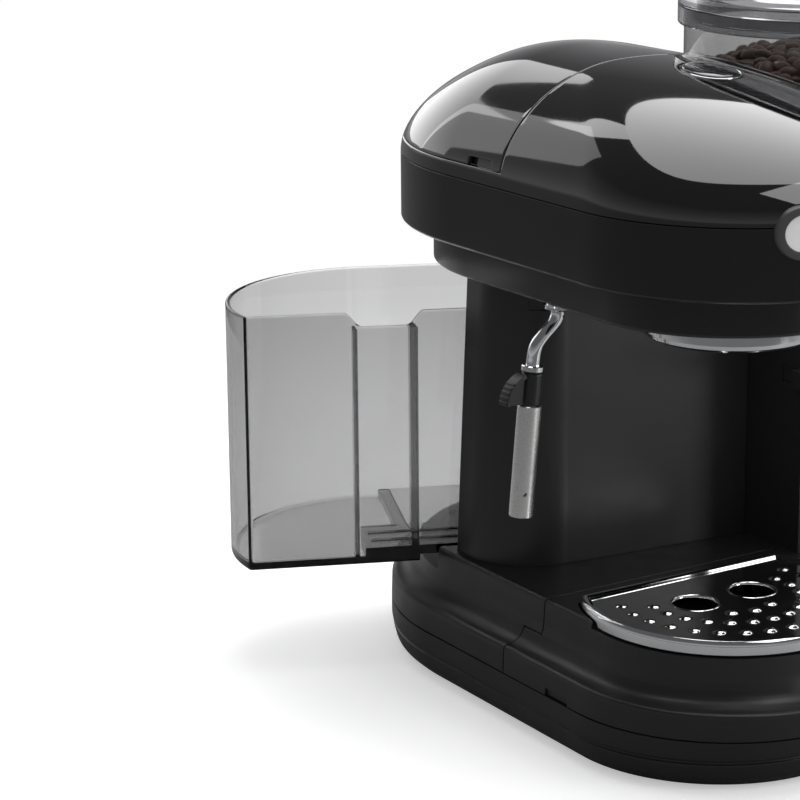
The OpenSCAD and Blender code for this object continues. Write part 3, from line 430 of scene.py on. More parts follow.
# Each level: half width, lobe radius, lobe centre, rear edge, rear radius and height.
PLINTH_LEVELS = [
    (125.5, 70.5, -82.5, 148, 111, 1.5), (129.5, 74.5, -82.5, 150, 112, 5),
    (131.5, 76.5, -82.5, 151, 113, 12.6), (130.6, 75.6, -82.5, 150.2, 112, 13),
    (130.6, 75.6, -82.5, 150.2, 112, 14.4), (132, 77.2, -83.4, 151, 113, 14.8),
    (132, 78, -86.5, 151, 113, JOINT_Z - GAP)]
UPPER_LEVELS = [
    (132, 78, -86.5, 151, 113, JOINT_Z), (131.6, 78, -89.3, 151, 113, 36.6),
    (130.4, 77, -89.5, 150, 112, 38), (126.6, 73.4, -89.5, 146, 109, 38.5),
    (123.2, 70, -89, 142.6, 106, 40.2), (120.8, 68, -88.4, 140, 103, 43.6),
    (119.2, 66.7, -88, 138, 101, 49), (DRUM_HALF, DRUM_R, -88, 137, 100, 60.8),
    (DRUM_HALF - 1.2, DRUM_R - 1.2, -88, 136, 99, DECK_Z)]


def base_loft(name, levels, material):
    return skin(name, [base_ring(*level) for level in eased(levels)], material)


DRAWER_RIGHT, DRAWER_LOW_Y, DRAWER_HIGH_Y, DRAWER_STEP_Z = 19, -28, -42, 45
NOTCH = ((-133, -78.5, 24), (-130.7, -61.5, 28.4))    # finger notch in the drawer's lower edge


def drawer_space(grow=0.0):
    low = block((-300, -300, 0), (DRAWER_RIGHT + grow, DRAWER_LOW_Y + grow, DRAWER_STEP_Z + grow))
    high = block((-300, -300, 0), (DRAWER_RIGHT + grow, DRAWER_HIGH_Y + grow, 100))
    return combine(low, high, "UNION")


TANK_HOME, TANK_TURN, TANK_DRAWN = (-127, 56.6), -22.8, 85
TANK_Z, TANK_H = BAY_Z + 3, 124
BAY = placed(*TANK_HOME, 0, "Z", TANK_TURN)
DRAWN = BAY @ Matrix.Translation((-TANK_DRAWN * MM, 0, 0))


def d_outline(at, r, back, corner=0.0):
    """A circle cut straight across, back behind its centre, with its two corners rounded."""
    c = back - corner
    reach = math.sqrt((r - corner) ** 2 - c * c)
    t = math.degrees(math.atan2(c, reach))
    left = (at[0] - reach, at[1] + c)
    right = (at[0] + reach, at[1] + c)
    outline = arc(at, r, 180 - t, 360 + t, 120)
    if corner:
        outline += arc(right, corner, t, 90, 6)[1:] + arc(left, corner, 90, 180 - t, 6)[:-1]
    return outline


SEAT_Z, SEAT_BACK, SEAT_STEP = 58.6, 33.4, 10
BASIN_R, BASIN_BACK, BASIN_Z = 60, 28, 28
SHELF_AT, SHELF_R, SHELF_BACK, SHELF_DEPTH = (HALF_GAP, -86), 52, 30, 2.4
RAILS, RAIL_HALF = (12, 78), 2            # the bay's two rails, across the tank's way
ABOVE = 90                                # above everything on the base


def seat_outline():
    """The plate's seat in the drawer. In front of SEAT_STEP it takes the top of the wall away."""
    near, far = PLATE_R + 0.6, DRUM_R + 2.5
    a = math.degrees(math.asin(SEAT_STEP / far))
    b = math.degrees(math.asin(SEAT_STEP / near))
    c = math.degrees(math.asin(SEAT_BACK / near))
    return (arc(BREW, near, 180 - c, 180 - b, 12) + arc(BREW, far, 180 - a, 360 + a, 120)
            + arc(BREW, near, 360 + b, 360 + c, 12))


def make_base():
    """Plinth, deck with the tank's bay and the cup shelf, and the drawer with the plate's seat."""
    plinth = base_loft("plinth_skin", PLINTH_LEVELS, SATIN)
    stand_for(soften(plinth), "plinth")

    deck = base_loft("deck_skin", UPPER_LEVELS, SATIN)
    combine(deck, drawer_space(0.5))
    bay = moved(block((-250, -3, BAY_Z), (143, 320, 111)), BAY)
    combine(deck, bay)
    for v in RAILS:
        rail = block((30, v - RAIL_HALF, BAY_Z - 1), (130, v + RAIL_HALF, BAY_Z + 2.6))
        combine(deck, moved(rail, BAY), "UNION")
    shelf = prism(d_outline(SHELF_AT, SHELF_R, SHELF_BACK), DECK_Z - SHELF_DEPTH, 70)
    combine(shelf, block((-100, -200, 50), (DRAWER_RIGHT + 4, 0, 80)))
    combine(deck, shelf)
    stand_for(soften(deck), "deck")

    tray = base_loft("tray_skin", UPPER_LEVELS, SATIN)
    combine(tray, drawer_space(), "INTERSECT")
    combine(tray, prism(d_outline(BREW, BASIN_R, BASIN_BACK), BASIN_Z, ABOVE))
    combine(tray, prism(seat_outline(), SEAT_Z, ABOVE))
    combine(tray, block(*NOTCH))
    stand_for(soften(tray), "tray_drawer")


# ---- drip plate

PLATE_R, PLATE_BACK, PLATE_TOP = 65.2, 33, 64
SHEET_R, SHEET_THICK, SHEET_PITCH = 62.4, 1.1, 0.46
DIMPLE_ROWS = [(48.4, 13.4, 8), (35.3, 16.7, 6), (22.7, 29, 1)]    # radius, step in degrees, steps
DIMPLE_R, DIMPLE_H = 3.0, 1.25
DRAIN_X, DRAIN_R = 16.2, 10
# Profiles of (outward, z) for the plate's rolled rim and of (radius, z) for a drain's flange.
RIM = [(-6.2, 62.9), (-5.4, 64.0), (-4.6, 64.3), (-3.6, 65.1), (-2.4, 65.8), (-1.4, 65.8), (-0.5, 65.1),
       (-0.05, 64.0), (0, 62.6), (0, 60.2), (-0.25, 59.5), (-0.8, 59.2), (-1.2, 59.6), (-1.25, 62.2),
       (-2.2, 64.0), (-3.4, 63.9), (-4.6, 63.2), (-5.4, 62.8)]
FLANGE = [(10, 61), (10, 62.9), (10.15, 63.6), (10.5, 64.1), (11, 64.3), (11.5, 64.2), (11.8, 63.9),
          (11.6, 63.4), (11, 63.2), (10.8, 61)]


def dimples():
    """The dimples' places from the plate's centre."""
    return [(r * math.cos(math.radians(i * step - 90)), r * math.sin(math.radians(i * step - 90)))
            for r, step, count in DIMPLE_ROWS for i in range(-count, count + 1)]


def sweep(name, outline, profile, material):
    """Carries a profile of (outward, z) round a closed outline."""
    n = len(outline)
    rings = []
    for i, (x, y) in enumerate(outline):
        before, after = Vector(outline[i - 1]), Vector(outline[(i + 1) % n])
        along = (after - before).normalized()
        side = (along.y, -along.x)
        rings.append([(x + side[0] * a, y + side[1] * a, z) for a, z in profile])
    return skin(name, rings, material, closed=True)


def make_drip_plate():
    """A pressed sheet: bumps in rows, two flanged drains and a rolled rim."""
    cap_r = (DIMPLE_R ** 2 + DIMPLE_H ** 2) / (2 * DIMPLE_H)
    spots = dimples()
    count = int(PLATE_R / SHEET_PITCH)

    def height(x, y):
        near = min(math.hypot(x - a, y - b) for a, b in spots)
        return PLATE_TOP + max(0.0, DIMPLE_H - cap_r + math.sqrt(cap_r ** 2 - min(near, DIMPLE_R) ** 2))

    def inside(x, y):
        drain = min(math.hypot(x - s * DRAIN_X, y) for s in (-1, 1))
        return math.hypot(x, y) < SHEET_R and y < PLATE_BACK - 2.2 and drain > DRAIN_R + 0.4

    bm = bmesh.new()
    grid = {}
    for i in range(-count, count + 1):
        for j in range(-count, count + 1):
            x, y = i * SHEET_PITCH, j * SHEET_PITCH
            if inside(x, y):
                place = ((BREW[0] + x) * MM, (BREW[1] + y) * MM, height(x, y) * MM)
                grid[i, j] = bm.verts.new(place)
    for (i, j) in grid:
        corners = [grid.get(key) for key in ((i, j), (i + 1, j), (i + 1, j + 1), (i, j + 1))]
        if all(corners):
            bm.faces.new(corners)
    bmesh.ops.recalc_face_normals(bm, faces=bm.faces)
    sheet = piece_of("drip_sheet", bm, STEEL)
    thick = sheet.modifiers.new("thick", "SOLIDIFY")
    thick.thickness = SHEET_THICK * MM
    thick.offset = -1 if sheet.data.polygons[0].normal.z > 0 else 1
    apply_modifiers(sheet)
    stand_for(smooth(sheet), "drip_plate")

    trim = [sweep("drip_rim", d_outline(BREW, PLATE_R, PLATE_BACK, 4.5), RIM, CHROME)]
    for name, side in (("drain_left", -1), ("drain_right", 1)):
        trim.append(revolve(name, (BREW[0] + side * DRAIN_X, BREW[1]), FLANGE, CHROME, 72))
    for piece in trim:
        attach(smooth(piece), "plate")


# ---- head

HEAD_Y, HEAD_MID = 18, (0, -12)
LOBE_HALF, HEAD_FRONT, HEAD_REAR = 80, 187, 108
RISE_BREW, RISE_GRIND = 54, 33
BLEND = 16
HEAD_N, DOME_RINGS = 288, 64
COLLAR_R, COLLAR_Z = 72.4, 246


def ease(t):
    t = min(1.0, max(0.0, t))
    return t * t * (3 - 2 * t)


def front_gauge(u, v):
    """How far (u, v) lies out from a lobe's centre, with 1 at its edge, in front of the widest line."""
    c, w = HEAD_FRONT - LOBE_HALF, abs(u)
    q = w * w + v * v
    if v <= c * w / LOBE_HALF:
        return w / LOBE_HALF
    return q / (c * v + math.sqrt(max(0.0, c * c * v * v - (c * c - LOBE_HALF ** 2) * q)))


def lobe_gauge(x, y, cx):
    """The same all round the lobe at cx."""
    u, d = x - cx, y - HEAD_Y
    return math.hypot(u / LOBE_HALF, d / HEAD_REAR) if d > 0 else front_gauge(u, -d)


def head_gauge(x, y):
    """The same for both lobes, blended where they meet."""
    a, b = lobe_gauge(x, y, -HALF_GAP), lobe_gauge(x, y, HALF_GAP)
    m = min(a, b)
    return m - math.log(math.exp(-BLEND * (a - m)) + math.exp(-BLEND * (b - m))) / BLEND


def head_edge(t):
    """The head's radius in direction t from HEAD_MID."""
    low, high = 0.0, 260.0
    for _ in range(30):
        mid = (low + high) / 2
        if head_gauge(HEAD_MID[0] + mid * math.cos(t), HEAD_MID[1] + mid * math.sin(t)) < 1:
            low = mid
        else:
            high = mid
    return low


HEAD_ANGLES = around(HEAD_N)
HEAD_RADII = [head_edge(t) for t in HEAD_ANGLES]


def head_ring(inset, z, share=1.0):
    ring = []
    for t, r in zip(HEAD_ANGLES, HEAD_RADII):
        reach = (r - inset) * share
        ring.append((HEAD_MID[0] + reach * math.cos(t), HEAD_MID[1] + reach * math.sin(t), z))
    return ring


def lobe_rise(x, y, cx, rise):
    """Height of one lobe's dome above the seam."""
    p = 2 - 0.25 * ease((y - HEAD_Y) / 60)
    g = min(1.0, lobe_gauge(x, y, cx))
    return rise * max(0.0, 1 - g ** p) ** (1 / p)


def dome_rise(x, y):
    """Height of the dome above the seam, with a soft valley between its lobes."""
    a, b = lobe_rise(x, y, -HALF_GAP, RISE_BREW), lobe_rise(x, y, HALF_GAP, RISE_GRIND)
    m = max(a, b)
    return m + 4 * math.log(math.exp((a - m) / 4) + math.exp((b - m) / 4)) * ease(m / 12)


def dome(inset=0.0, drop=0.0):
    """The dome as a closed tool over a flat bottom. Its rings are evenly spaced over the curve."""
    rings = [head_ring(inset, SEAM_Z - drop)] if drop else []
    scale = 1 - inset / RISE_BREW
    for j in range(DOME_RINGS):
        share = math.cos(math.pi / 2 * j / DOME_RINGS)
        outer, inner = head_ring(0, 0, share), head_ring(inset, 0, share)
        rings.append([(q[0], q[1], SEAM_Z + scale * dome_rise(p[0], p[1]))
                      for p, q in zip(outer, inner)])
    return skin("tool", rings)


SHELL = 2.5                  # wall of the dome and the lid
LID_FRONT, LID_RIGHT, LID_LOW = -25, -30.5, 256
LID_NOTCH = (-17, 1)         # y of the finger notch in the lid's lower edge
HINGE_Y, OUTER_KNUCKLE, OUTER_HALF, MID_HALF = 126.5, 15.2, 3.4, 11.4


def lid_space(grow=0.0):
    return block((-200, LID_FRONT - grow, LID_LOW - grow), (LID_RIGHT + grow, 240, 360))


def knuckle(piece, middle, half, low, high):
    """Adds a hinge barrel on the lid's axis to the piece, and a web in front of it from low to high."""
    barrel = disc((0, 0), 3.0, middle - half, middle + half, 48)
    combine(piece, moved(barrel, placed(-HALF_GAP, HINGE_Y, LID_LOW, "Y", 90)), "UNION")
    left = -HALF_GAP + middle - half
    combine(piece, block((left, HINGE_Y - 7, low), (left + 2 * half, HINGE_Y, high)), "UNION")


def dressed(tool, name, material):
    """Makes a tool a piece of its own."""
    tool.name = tool.data.name = name
    tool.data.materials.append(material)
    return tool


START_AT, START_Z, START_LEAN = (-43, -59), 297.7, 7.5
START = placed(*START_AT, START_Z, "X", START_LEAN)


def oval(r):
    """The top button's outline, 2.8 longer than it is wide."""
    return arc((0, -1.4), r, 180, 360, 40) + arc((0, 1.4), r, 0, 180, 40)


def make_head():
    """Dome cover, rear lid and band. Cover and lid are cut from one shell."""
    shell = dressed(dome(), "dome_skin", GLOSS)
    combine(shell, dome(SHELL, 1))
    lid = shell.copy()
    lid.data = shell.data.copy()
    lid.name = lid.data.name = "lid_skin"
    bpy.context.scene.collection.objects.link(lid)

    lip = dome(2.8, 1)                    # a strip of wall behind the lid's notch
    combine(lip, dome(4.2, 2))
    behind = block((-150, LID_NOTCH[0] - 3, SEAM_Z + 1), (-110, LID_NOTCH[1] + 3, LID_LOW + 5))
    combine(lip, behind, "INTERSECT")
    combine(shell, lid_space(0.3))
    combine(shell, lip, "UNION")
    combine(shell, disc(GRIND, COLLAR_R + 0.4, 240, 330))
    combine(shell, moved(prism(oval(13.7), -12, 12), START))
    for side in (-1, 1):
        knuckle(shell, side * OUTER_KNUCKLE, OUTER_HALF, LID_LOW - 3, LID_LOW)
    stand_for(soften(shell, 0.6, steps=3), "dome_cover")

    combine(lid, lid_space(), "INTERSECT")
    combine(lid, block((-150, LID_NOTCH[0], LID_LOW - 1), (-110, LID_NOTCH[1], LID_LOW + 3.6)))
    knuckle(lid, 0, MID_HALF, LID_LOW, LID_LOW + 3)
    stand_for(soften(lid, 0.6, steps=3), "rear_lid")

    top = SEAM_Z - GAP
    levels = [(3, BAND_Z), (1.3, BAND_Z), (0.8, BAND_Z + 0.2), (0.3, BAND_Z + 0.7), (0, BAND_Z + 1.4),
              (0, top - 0.5), (0.15, top - 0.15), (0.5, top), (3, top)]
    band = skin("band_skin", [head_ring(inset, z) for inset, z in levels], SEMI_GLOSS, closed=True)
    stand_for(smooth(band), "head_band")


TIER_HALF, TIER_R = 120, 64
WAND_AT = (-114.5, -45)
# Holes for the brewing group, the wand, the burrs' shaft, the dose chute and the filling spout.
TIER_HOLES = [(BREW, 34.6), (WAND_AT, 5.2), (GRIND, 6), ((HALF_GAP, -97), 13.4), ((-43, 76), 18.4)]


def tier_ring(d, z):
    return base_ring(TIER_HALF - d, TIER_R - d, -88, 114 - d, 92 - d, z)


def make_tier():
    """The lower step of the head."""
    levels = [(1.4, TIER_Z), (0.5, TIER_Z + 0.25), (0.1, TIER_Z + 0.8), (0, TIER_Z + 1.5), (0, BAND_Z)]
    tier = skin("tier_skin", [tier_ring(d, z) for d, z in levels], SEMI_GLOSS)
    for at, r in TIER_HOLES:
        combine(tier, disc(at, r, TIER_Z - 9, BAND_Z + 13, 96))
    stand_for(soften(tier, 0.25), "head_tier")


def make_start_button():
    """The oval button on the dome, in its thin bright rim."""
    rim = [(12.2, -5), (12.3, -0.3), (12.4, 0.1), (12.65, 0.35), (12.9, 0.25), (13.05, -0.1), (13.1, -5)]
    rings = [[(x, y, z) for x, y in oval(r)] for r, z in rim]
    bezel = moved(skin("start_rim", rings, CHROME, closed=True), START)
    stand_for(smooth(bezel), "top_button_rim")
    top = [(12, -4), (12, 0.1), (11.8, 0.6), (11.4, 0.95), (10.8, 1.15), (9, 1.4), (6, 1.6), (2, 1.7)]
    cap = moved(skin("start_cap", [[(x, y, z) for x, y in oval(r)] for r, z in top], GLOSS), START)
    stand_for(smooth(cap), "top_button")


# ---- column

COLUMN_LEFT, COLUMN_FRONT, COLUMN_R, COLUMN_RIGHT, COLUMN_LEAN = -114.5, -6, 34, 18, 6.4
COLUMN_LEVELS = 12
RECESS, RECESS_Z, RECESS_DEPTH = (233, 251), (184.9, 190.3), 1.4    # from and to, degrees and z


def bay_wall_y(x, d):
    """Y of the column's rear wall, parallel to the tank."""
    turn = math.radians(TANK_TURN)
    return TANK_HOME[1] + (x - TANK_HOME[0]) * math.tan(turn) - (3.4 + d) / math.cos(turn)


def column_ring(d, z):
    """The left side leans in from the foot to the top, and the round corner follows it."""
    lean = COLUMN_LEAN * (z - DECK_Z) / (TIER_Z - DECK_Z)
    c = (COLUMN_LEFT + COLUMN_R, COLUMN_FRONT + COLUMN_R)
    corner = arc(c, COLUMN_R - d, 180, 270, 40)
    ring = corner + [(COLUMN_RIGHT - d, -15 + d), (COLUMN_RIGHT - d, bay_wall_y(COLUMN_RIGHT - d, d)),
                     (-104 + d / 2, bay_wall_y(-104 + d / 2, d)), (COLUMN_LEFT + d, 38 - d)]
    share = [min(1.0, max(0.0, (c[0] - x) / (c[0] - COLUMN_LEFT))) for x, _ in ring]
    return [(x + lean * ease(w), y, z) for (x, y), w in zip(ring, share)]


def make_column():
    """A leaning shell with a shallow rectangular recess beside the wand."""
    levels = [DECK_Z + (TIER_Z - DECK_Z) * i / COLUMN_LEVELS for i in range(COLUMN_LEVELS + 1)]
    rings = [column_ring(0, z) for z in levels] + [column_ring(3, z) for z in levels[::-1]]
    column = skin("column_skin", rings, SATIN, closed=True)
    c = (COLUMN_LEFT + COLUMN_R + 2, COLUMN_FRONT + COLUMN_R)
    band = arc(c, COLUMN_R - RECESS_DEPTH, *RECESS, 12) + arc(c, COLUMN_R + 4, *RECESS, 12)[::-1]
    combine(column, prism(band, *RECESS_Z))
    stand_for(soften(column, 0.3), "column")


# ---- panel

PANEL_AT, PANEL_Z = (-HALF_GAP, HEAD_Y - (HEAD_FRONT - LOBE_HALF)), 246.3
PANEL_LEN, PANEL_H = 72, 22.6
# Profile of the frame: inset from its outline, and distance from PANEL_AT.
FRAME = [(0, 78), (0, 80.9), (0.1, 81.3), (0.4, 81.6), (0.9, 81.75), (2.6, 81.75), (3.1, 81.6),
         (3.4, 81.3), (3.6, 80.8), (3.6, 78)]


def make_panel_bezel():
    """A rounded frame that follows the pill outline and wraps round the lobe."""
    half, r = (PANEL_LEN - PANEL_H) / 2, PANEL_H / 2
    straight = [(-half + 2 * half * i / 24, -r, 0, -1) for i in range(25)]
    turn = [(half + r * math.sin(t), -r * math.cos(t), math.sin(t), -math.cos(t))
            for t in (math.pi * i / 32 for i in range(1, 32))]
    side = straight + turn
    outline = side + [(-x, -z, -a, -b) for x, z, a, b in side]
    rings = []
    for x, z, a, b in outline:
        ring = []
        for inset, reach in FRAME:
            u = x - a * inset
            y = PANEL_AT[1] - math.sqrt(reach ** 2 - u * u)
            ring.append((PANEL_AT[0] + u, y, PANEL_Z + z - b * inset))
        rings.append(ring)
    stand_for(smooth(skin("panel_frame", rings, BEZEL, closed=True)), "panel_bezel")


# ---- water tank

# The tank lies along its own axes, u along its flat wall and v away from it.
TANK_WALL, TANK_FILLET = 2.2, 1.0
TANK_END, TANK_END_R, TANK_DEPTH, TANK_LEN, TANK_CORNER = (75, 29), 75, 104, 140, 12
DIP, DIP_DEPTH = (58, 86), 7              # the lowered stretch of the rim
STEP_U, STEP_V, STEP_H = 62, 38, 7.6      # the raised floor in front, and how high its top is
FOOT_U, FOOT_H = DIP[1] + 2, 3.6          # the foot ends here, and the tank is hollow under it beyond
VALVE_V, VALVE_H, VALVE_R = 40, 16, 8


def tank_outline(d):
    """Flat wall, right end, rear corner and round left end, each inset by d."""
    start = TANK_END[0] - math.sqrt((TANK_END_R - d) ** 2 - (TANK_END[1] - d) ** 2)
    low = math.degrees(math.asin((TANK_END[1] - d) / (TANK_END_R - d)))
    last = low - math.degrees(TANK_FILLET / TANK_END_R)
    right = TANK_LEN - d

    def corner(a, c, b):
        return [mix(mix(a, c, t), mix(c, b, t), t) for t in (i / 6 for i in range(1, 6))]

    first, end = (start + TANK_FILLET, d), (right - TANK_FILLET, d)
    outline = [mix(first, end, i / 120) for i in range(121)]
    outline += corner(end, (right, d), (right, d + TANK_FILLET))
    outline += [(right, d + TANK_FILLET)]
    outline += arc((TANK_LEN - TANK_CORNER, TANK_DEPTH - TANK_CORNER), TANK_CORNER - d, 0, 90, 12)
    outline += arc(TANK_END, TANK_END_R - d, 90, 180 + last, 90)
    outline += corner(outline[-1], (start, d), first)
    return outline


def rim_height(u, v):
    """The rim dips between two S-curves on the flat wall."""
    if v > 6:
        return TANK_Z + TANK_H
    return TANK_Z + TANK_H - DIP_DEPTH * ease((u - DIP[0] + 5.5) / 9) * ease((DIP[1] + 4.5 - u) / 8)


def make_tank():
    """A moulded vessel with a round rim, two ribs behind the dip, a raised floor and a foot."""
    half = TANK_WALL / 2
    turns = [math.pi * i / 8 for i in range(9)]
    rim = [(half - half * math.cos(t), -half + half * math.sin(t)) for t in turns]
    rings = []
    for d, z in [(5, 0), (1.8, 0), (0.9, 0.2), (0.25, 0.75), (0, 1.6)]:
        rings.append([(u, v, TANK_Z + z) for u, v in tank_outline(d)])
    for d, z in rim:
        rings.append([(u, v, rim_height(u, v) + z) for u, v in tank_outline(d)])
    for d, z in [(TANK_WALL, 5), (2.4, 4.1), (3, 3.4), (4, 3), (8, 3)]:
        rings.append([(u, v, TANK_Z + z) for u, v in tank_outline(d)])
    tank = skin("tank_skin", rings, SMOKE)
    front = block((STEP_U, 0, TANK_Z + 2), (160, STEP_V, TANK_Z + STEP_H))
    behind = block((DIP[1] - 4, STEP_V - 2, TANK_Z + 2), (160, 140, TANK_Z + 6.4))
    for part in (behind, front):
        combine(part, prism(tank_outline(1), TANK_Z, TANK_Z + 30), "INTERSECT")
        combine(tank, part, "UNION")
    for v in (12, 24):
        combine(tank, block((66, v, TANK_Z + 7), (128, v + 1.2, TANK_Z + 8.8)), "UNION")
    top = TANK_Z + TANK_H - DIP_DEPTH - 1.4
    for u, half in zip(DIP, (0.9, 1.7)):
        combine(tank, block((u - half, 1.2, TANK_Z + 1.6), (u + half, 10.2, top)), "UNION")
    combine(tank, block((FOOT_U, -5, TANK_Z - 2), (160, 140, TANK_Z + FOOT_H)))
    port = disc((0, 0), VALVE_R, -12, 20, 64)
    combine(tank, moved(port, placed(TANK_LEN, VALVE_V, TANK_Z + VALVE_H, "Y", 90)))
    stand_for(moved(soften(tank, 0.4, 36), DRAWN), "water_tank")


# ---- hopper

LID_Z = 310
HOPPER_TOP = LID_Z + 8
# Profiles of (radius, z), closed for the hopper and between the axis and itself for its lid.
HOPPER_WALL = [
    (21, 241), (24, 241), (24, 249.6), (25, 250.6), (64.8, 261.7), (66, 260.8), (66, 249.4), (66.4, 249),
    (69.6, 249), (70, 249.4), (70, HOPPER_TOP - 0.8), (69.65, HOPPER_TOP - 0.2), (69, HOPPER_TOP),
    (68.4, HOPPER_TOP), (67.85, HOPPER_TOP - 0.25), (67.6, HOPPER_TOP - 0.8), (67.6, 267.4),
    (66.8, 265.8), (22, 253), (21, 252.2)]
HOPPER_LID = [
    (40, 326), (62, 323.4), (63.6, 322.4), (64, 321), (64, 312.6), (64.6, 312), (66.3, 312),
    (66.8, 312.6), (66.8, 318), (67.4, 318.6), (70, 318.6), (70.6, 318), (70.6, LID_Z + 0.4),
    (71.1, LID_Z), (72.5, LID_Z), (73, LID_Z + 0.6), (73, 323), (72.7, 324.8), (71.8, 326.2),
    (70, 327.4), (66, 328.9), (58, 329.9), (50, 330.5), (38, 331), (27, 331.3), (26, 331.2),
    (25.2, 330.4), (24.4, 330.2)]


def turned(profile, n):
    """One level ring round the hopper's axis for each (radius, z)."""
    return [[(GRIND[0] + r * math.cos(t), GRIND[1] + r * math.sin(t), z) for t in around(n)]
            for r, z in profile]


def make_collar():
    """A beaded ring that follows the dome round the hopper, on a flat seat."""
    rings = []
    for t in around(240):
        x, y = math.cos(t), math.sin(t)
        h = SEAM_Z + dome_rise(GRIND[0] + COLLAR_R * x, GRIND[1] + COLLAR_R * y)
        bead = [(70.6, COLLAR_Z - 0.6), (70.6, h + 0.2), (70.75, h + 0.65), (71.1, h + 0.95),
                (71.5, h + 1.0), (71.9, h + 0.85), (72.25, h + 0.45), (COLLAR_R, h - 0.1),
                (COLLAR_R, COLLAR_Z - 0.6)]
        rings.append([(GRIND[0] + r * x, GRIND[1] + r * y, z) for r, z in bead])
    collar = skin("collar_bead", rings, GLOSS, closed=True)
    seat = disc(GRIND, 71.6, COLLAR_Z, COLLAR_Z + 2.6)
    combine(seat, disc(GRIND, 24.6, 240, 260))
    combine(collar, seat, "UNION")
    stand_for(smooth(collar), "hopper_collar")


def make_hopper():
    """The hopper, with a notch on each side of its foot, and its lid."""
    hopper = revolve("hopper_wall", GRIND, HOPPER_WALL, SMOKE, 192)
    x, y = GRIND
    for left in (x - 80, x + 60):
        combine(hopper, block((left, y - 6, 240), (left + 20, y + 6, 253)))
    stand_for(smooth(hopper), "bean_hopper")
    stand_for(smooth(skin("hopper_cover", turned(HOPPER_LID, 192), LID_SMOKE)), "hopper_lid")


BEAN_LENGTH, BEAN_WIDTH, BEAN_THICK = 10.4, 7.4, 5.2
BEAN_COLUMNS, BEAN_ROWS = 12, 8
WALL_LEVELS, WALL_BEANS, WALL_Z, WALL_STEP = 6, 46, 259.5, 5.1    # beans that stand at the hopper's wall
TOP_BEANS, TOP_R = 250, 62.5                                      # beans that lie on the heap
CORE_RADII = (60, 50, 38, 26, 14, 1)


def bean_shape():
    """Points and faces of one bean: an oval dome over a flat side with a groove."""
    points, faces = [], []
    n = BEAN_COLUMNS
    for j in range(BEAN_ROWS + 1):
        lat = math.pi * j / BEAN_ROWS
        for lon in around(n):
            x = math.cos(lat)
            y, z = math.sin(lat) * math.cos(lon), math.sin(lat) * math.sin(lon)
            if z < 0:
                z = 0.42 * z + 0.34 * math.exp(-(y / 0.22) ** 2) * math.sin(lat) ** 2
            points.append(Vector((x * BEAN_LENGTH / 2, y * BEAN_WIDTH / 2, z * BEAN_THICK * 0.7)))
    for j in range(BEAN_ROWS):
        a, b = j * n, (j + 1) * n
        faces += [(a + i, a + (i + 1) % n, b + (i + 1) % n, b + i) for i in range(n)]
    return points, faces


def pile_height(r):
    """Height of the heap of beans at a distance from the hopper's axis."""
    return 301.5 - 16.0 * (r / 67) ** 2.4


def about(axis, angle):
    return Matrix.Rotation(angle, 3, axis)


def bean_places():
    """Where each bean is, from the hopper's axis, and how it is turned: the wall, then the top."""
    rng = random.Random(7)
    places = []
    for level in range(WALL_LEVELS):
        z = WALL_Z + WALL_STEP * level
        r = 63.4 if z > 266 else 60
        for i in range(WALL_BEANS):
            t = 2 * math.pi * (i + 0.5 * level + rng.uniform(-0.25, 0.25)) / WALL_BEANS
            at = Vector((r * math.cos(t), r * math.sin(t), z + rng.uniform(-1, 1)))
            upright = about("Z", t) @ about("Y", math.pi / 2 * rng.choice((-1, 1)))
            spin = about("Z", rng.uniform(0, math.tau)) @ about("X", rng.gauss(0, 0.16))
            places.append((at, upright @ spin))
    for i in range(TOP_BEANS):
        r, t = TOP_R * math.sqrt((i + 0.5) / TOP_BEANS), i * math.pi * (3 - math.sqrt(5))
        at = Vector((r * math.cos(t), r * math.sin(t), pile_height(r) - 3.2 + rng.uniform(-1, 1)))
        tilt = about("X", rng.gauss(0, 0.45)) @ about("Y", rng.gauss(0, 0.35))
        flip = about("X", math.pi * rng.choice((0, 0, 1)))
        places.append((at, about("Z", rng.uniform(0, math.tau)) @ tilt @ flip))
    return [(at, turn, rng.uniform(0.9, 1.08)) for at, turn in places]


def make_beans():
    """The beans that can be seen, each a shape of its own, round a plain core."""
    shape, shape_faces = bean_shape()
    points, faces = [], []
    for at, turn, size in bean_places():
        base = len(points)
        points += [turn @ (p * size) + at + Vector((*GRIND, 0)) for p in shape]
        faces += [[base + i for i in face] for face in shape_faces]
    bm = mesh_of(points, faces)
    bmesh.ops.remove_doubles(bm, verts=bm.verts, dist=0.001 * MM)    # one point at each of their ends
    bmesh.ops.recalc_face_normals(bm, faces=bm.faces)
    beans = piece_of("beans", bm, BEAN)
    beans.data.shade_smooth()
    stand_for(beans, "coffee_beans")
    heap = [(1, 255), (20, 255), (60, 266.5)] + [(r, pile_height(r) - 5.5) for r in CORE_RADII]
    core = smooth(skin("bean_heap", turned(heap, 64), BEAN))
    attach(core, "hopper")


# ---- steam wand

WAND_KNEE, WAND_LEAN, WAND_R = (-127.4, 176), 5.3, 3.1    # x and z, degrees, radius
WAND = placed(WAND_KNEE[0], WAND_AT[1], WAND_KNEE[1], "Y", WAND_LEAN)
WAND_BEND = [(-114.5, 207), (-114.5, 199), (-114.6, 194), (-117, 190), (-122.6, 185), (-126.2, 180.6),
             (-127.4, 175.4), (-127.9, 171), (-128.6, 163), (-133.68, 108.3)]
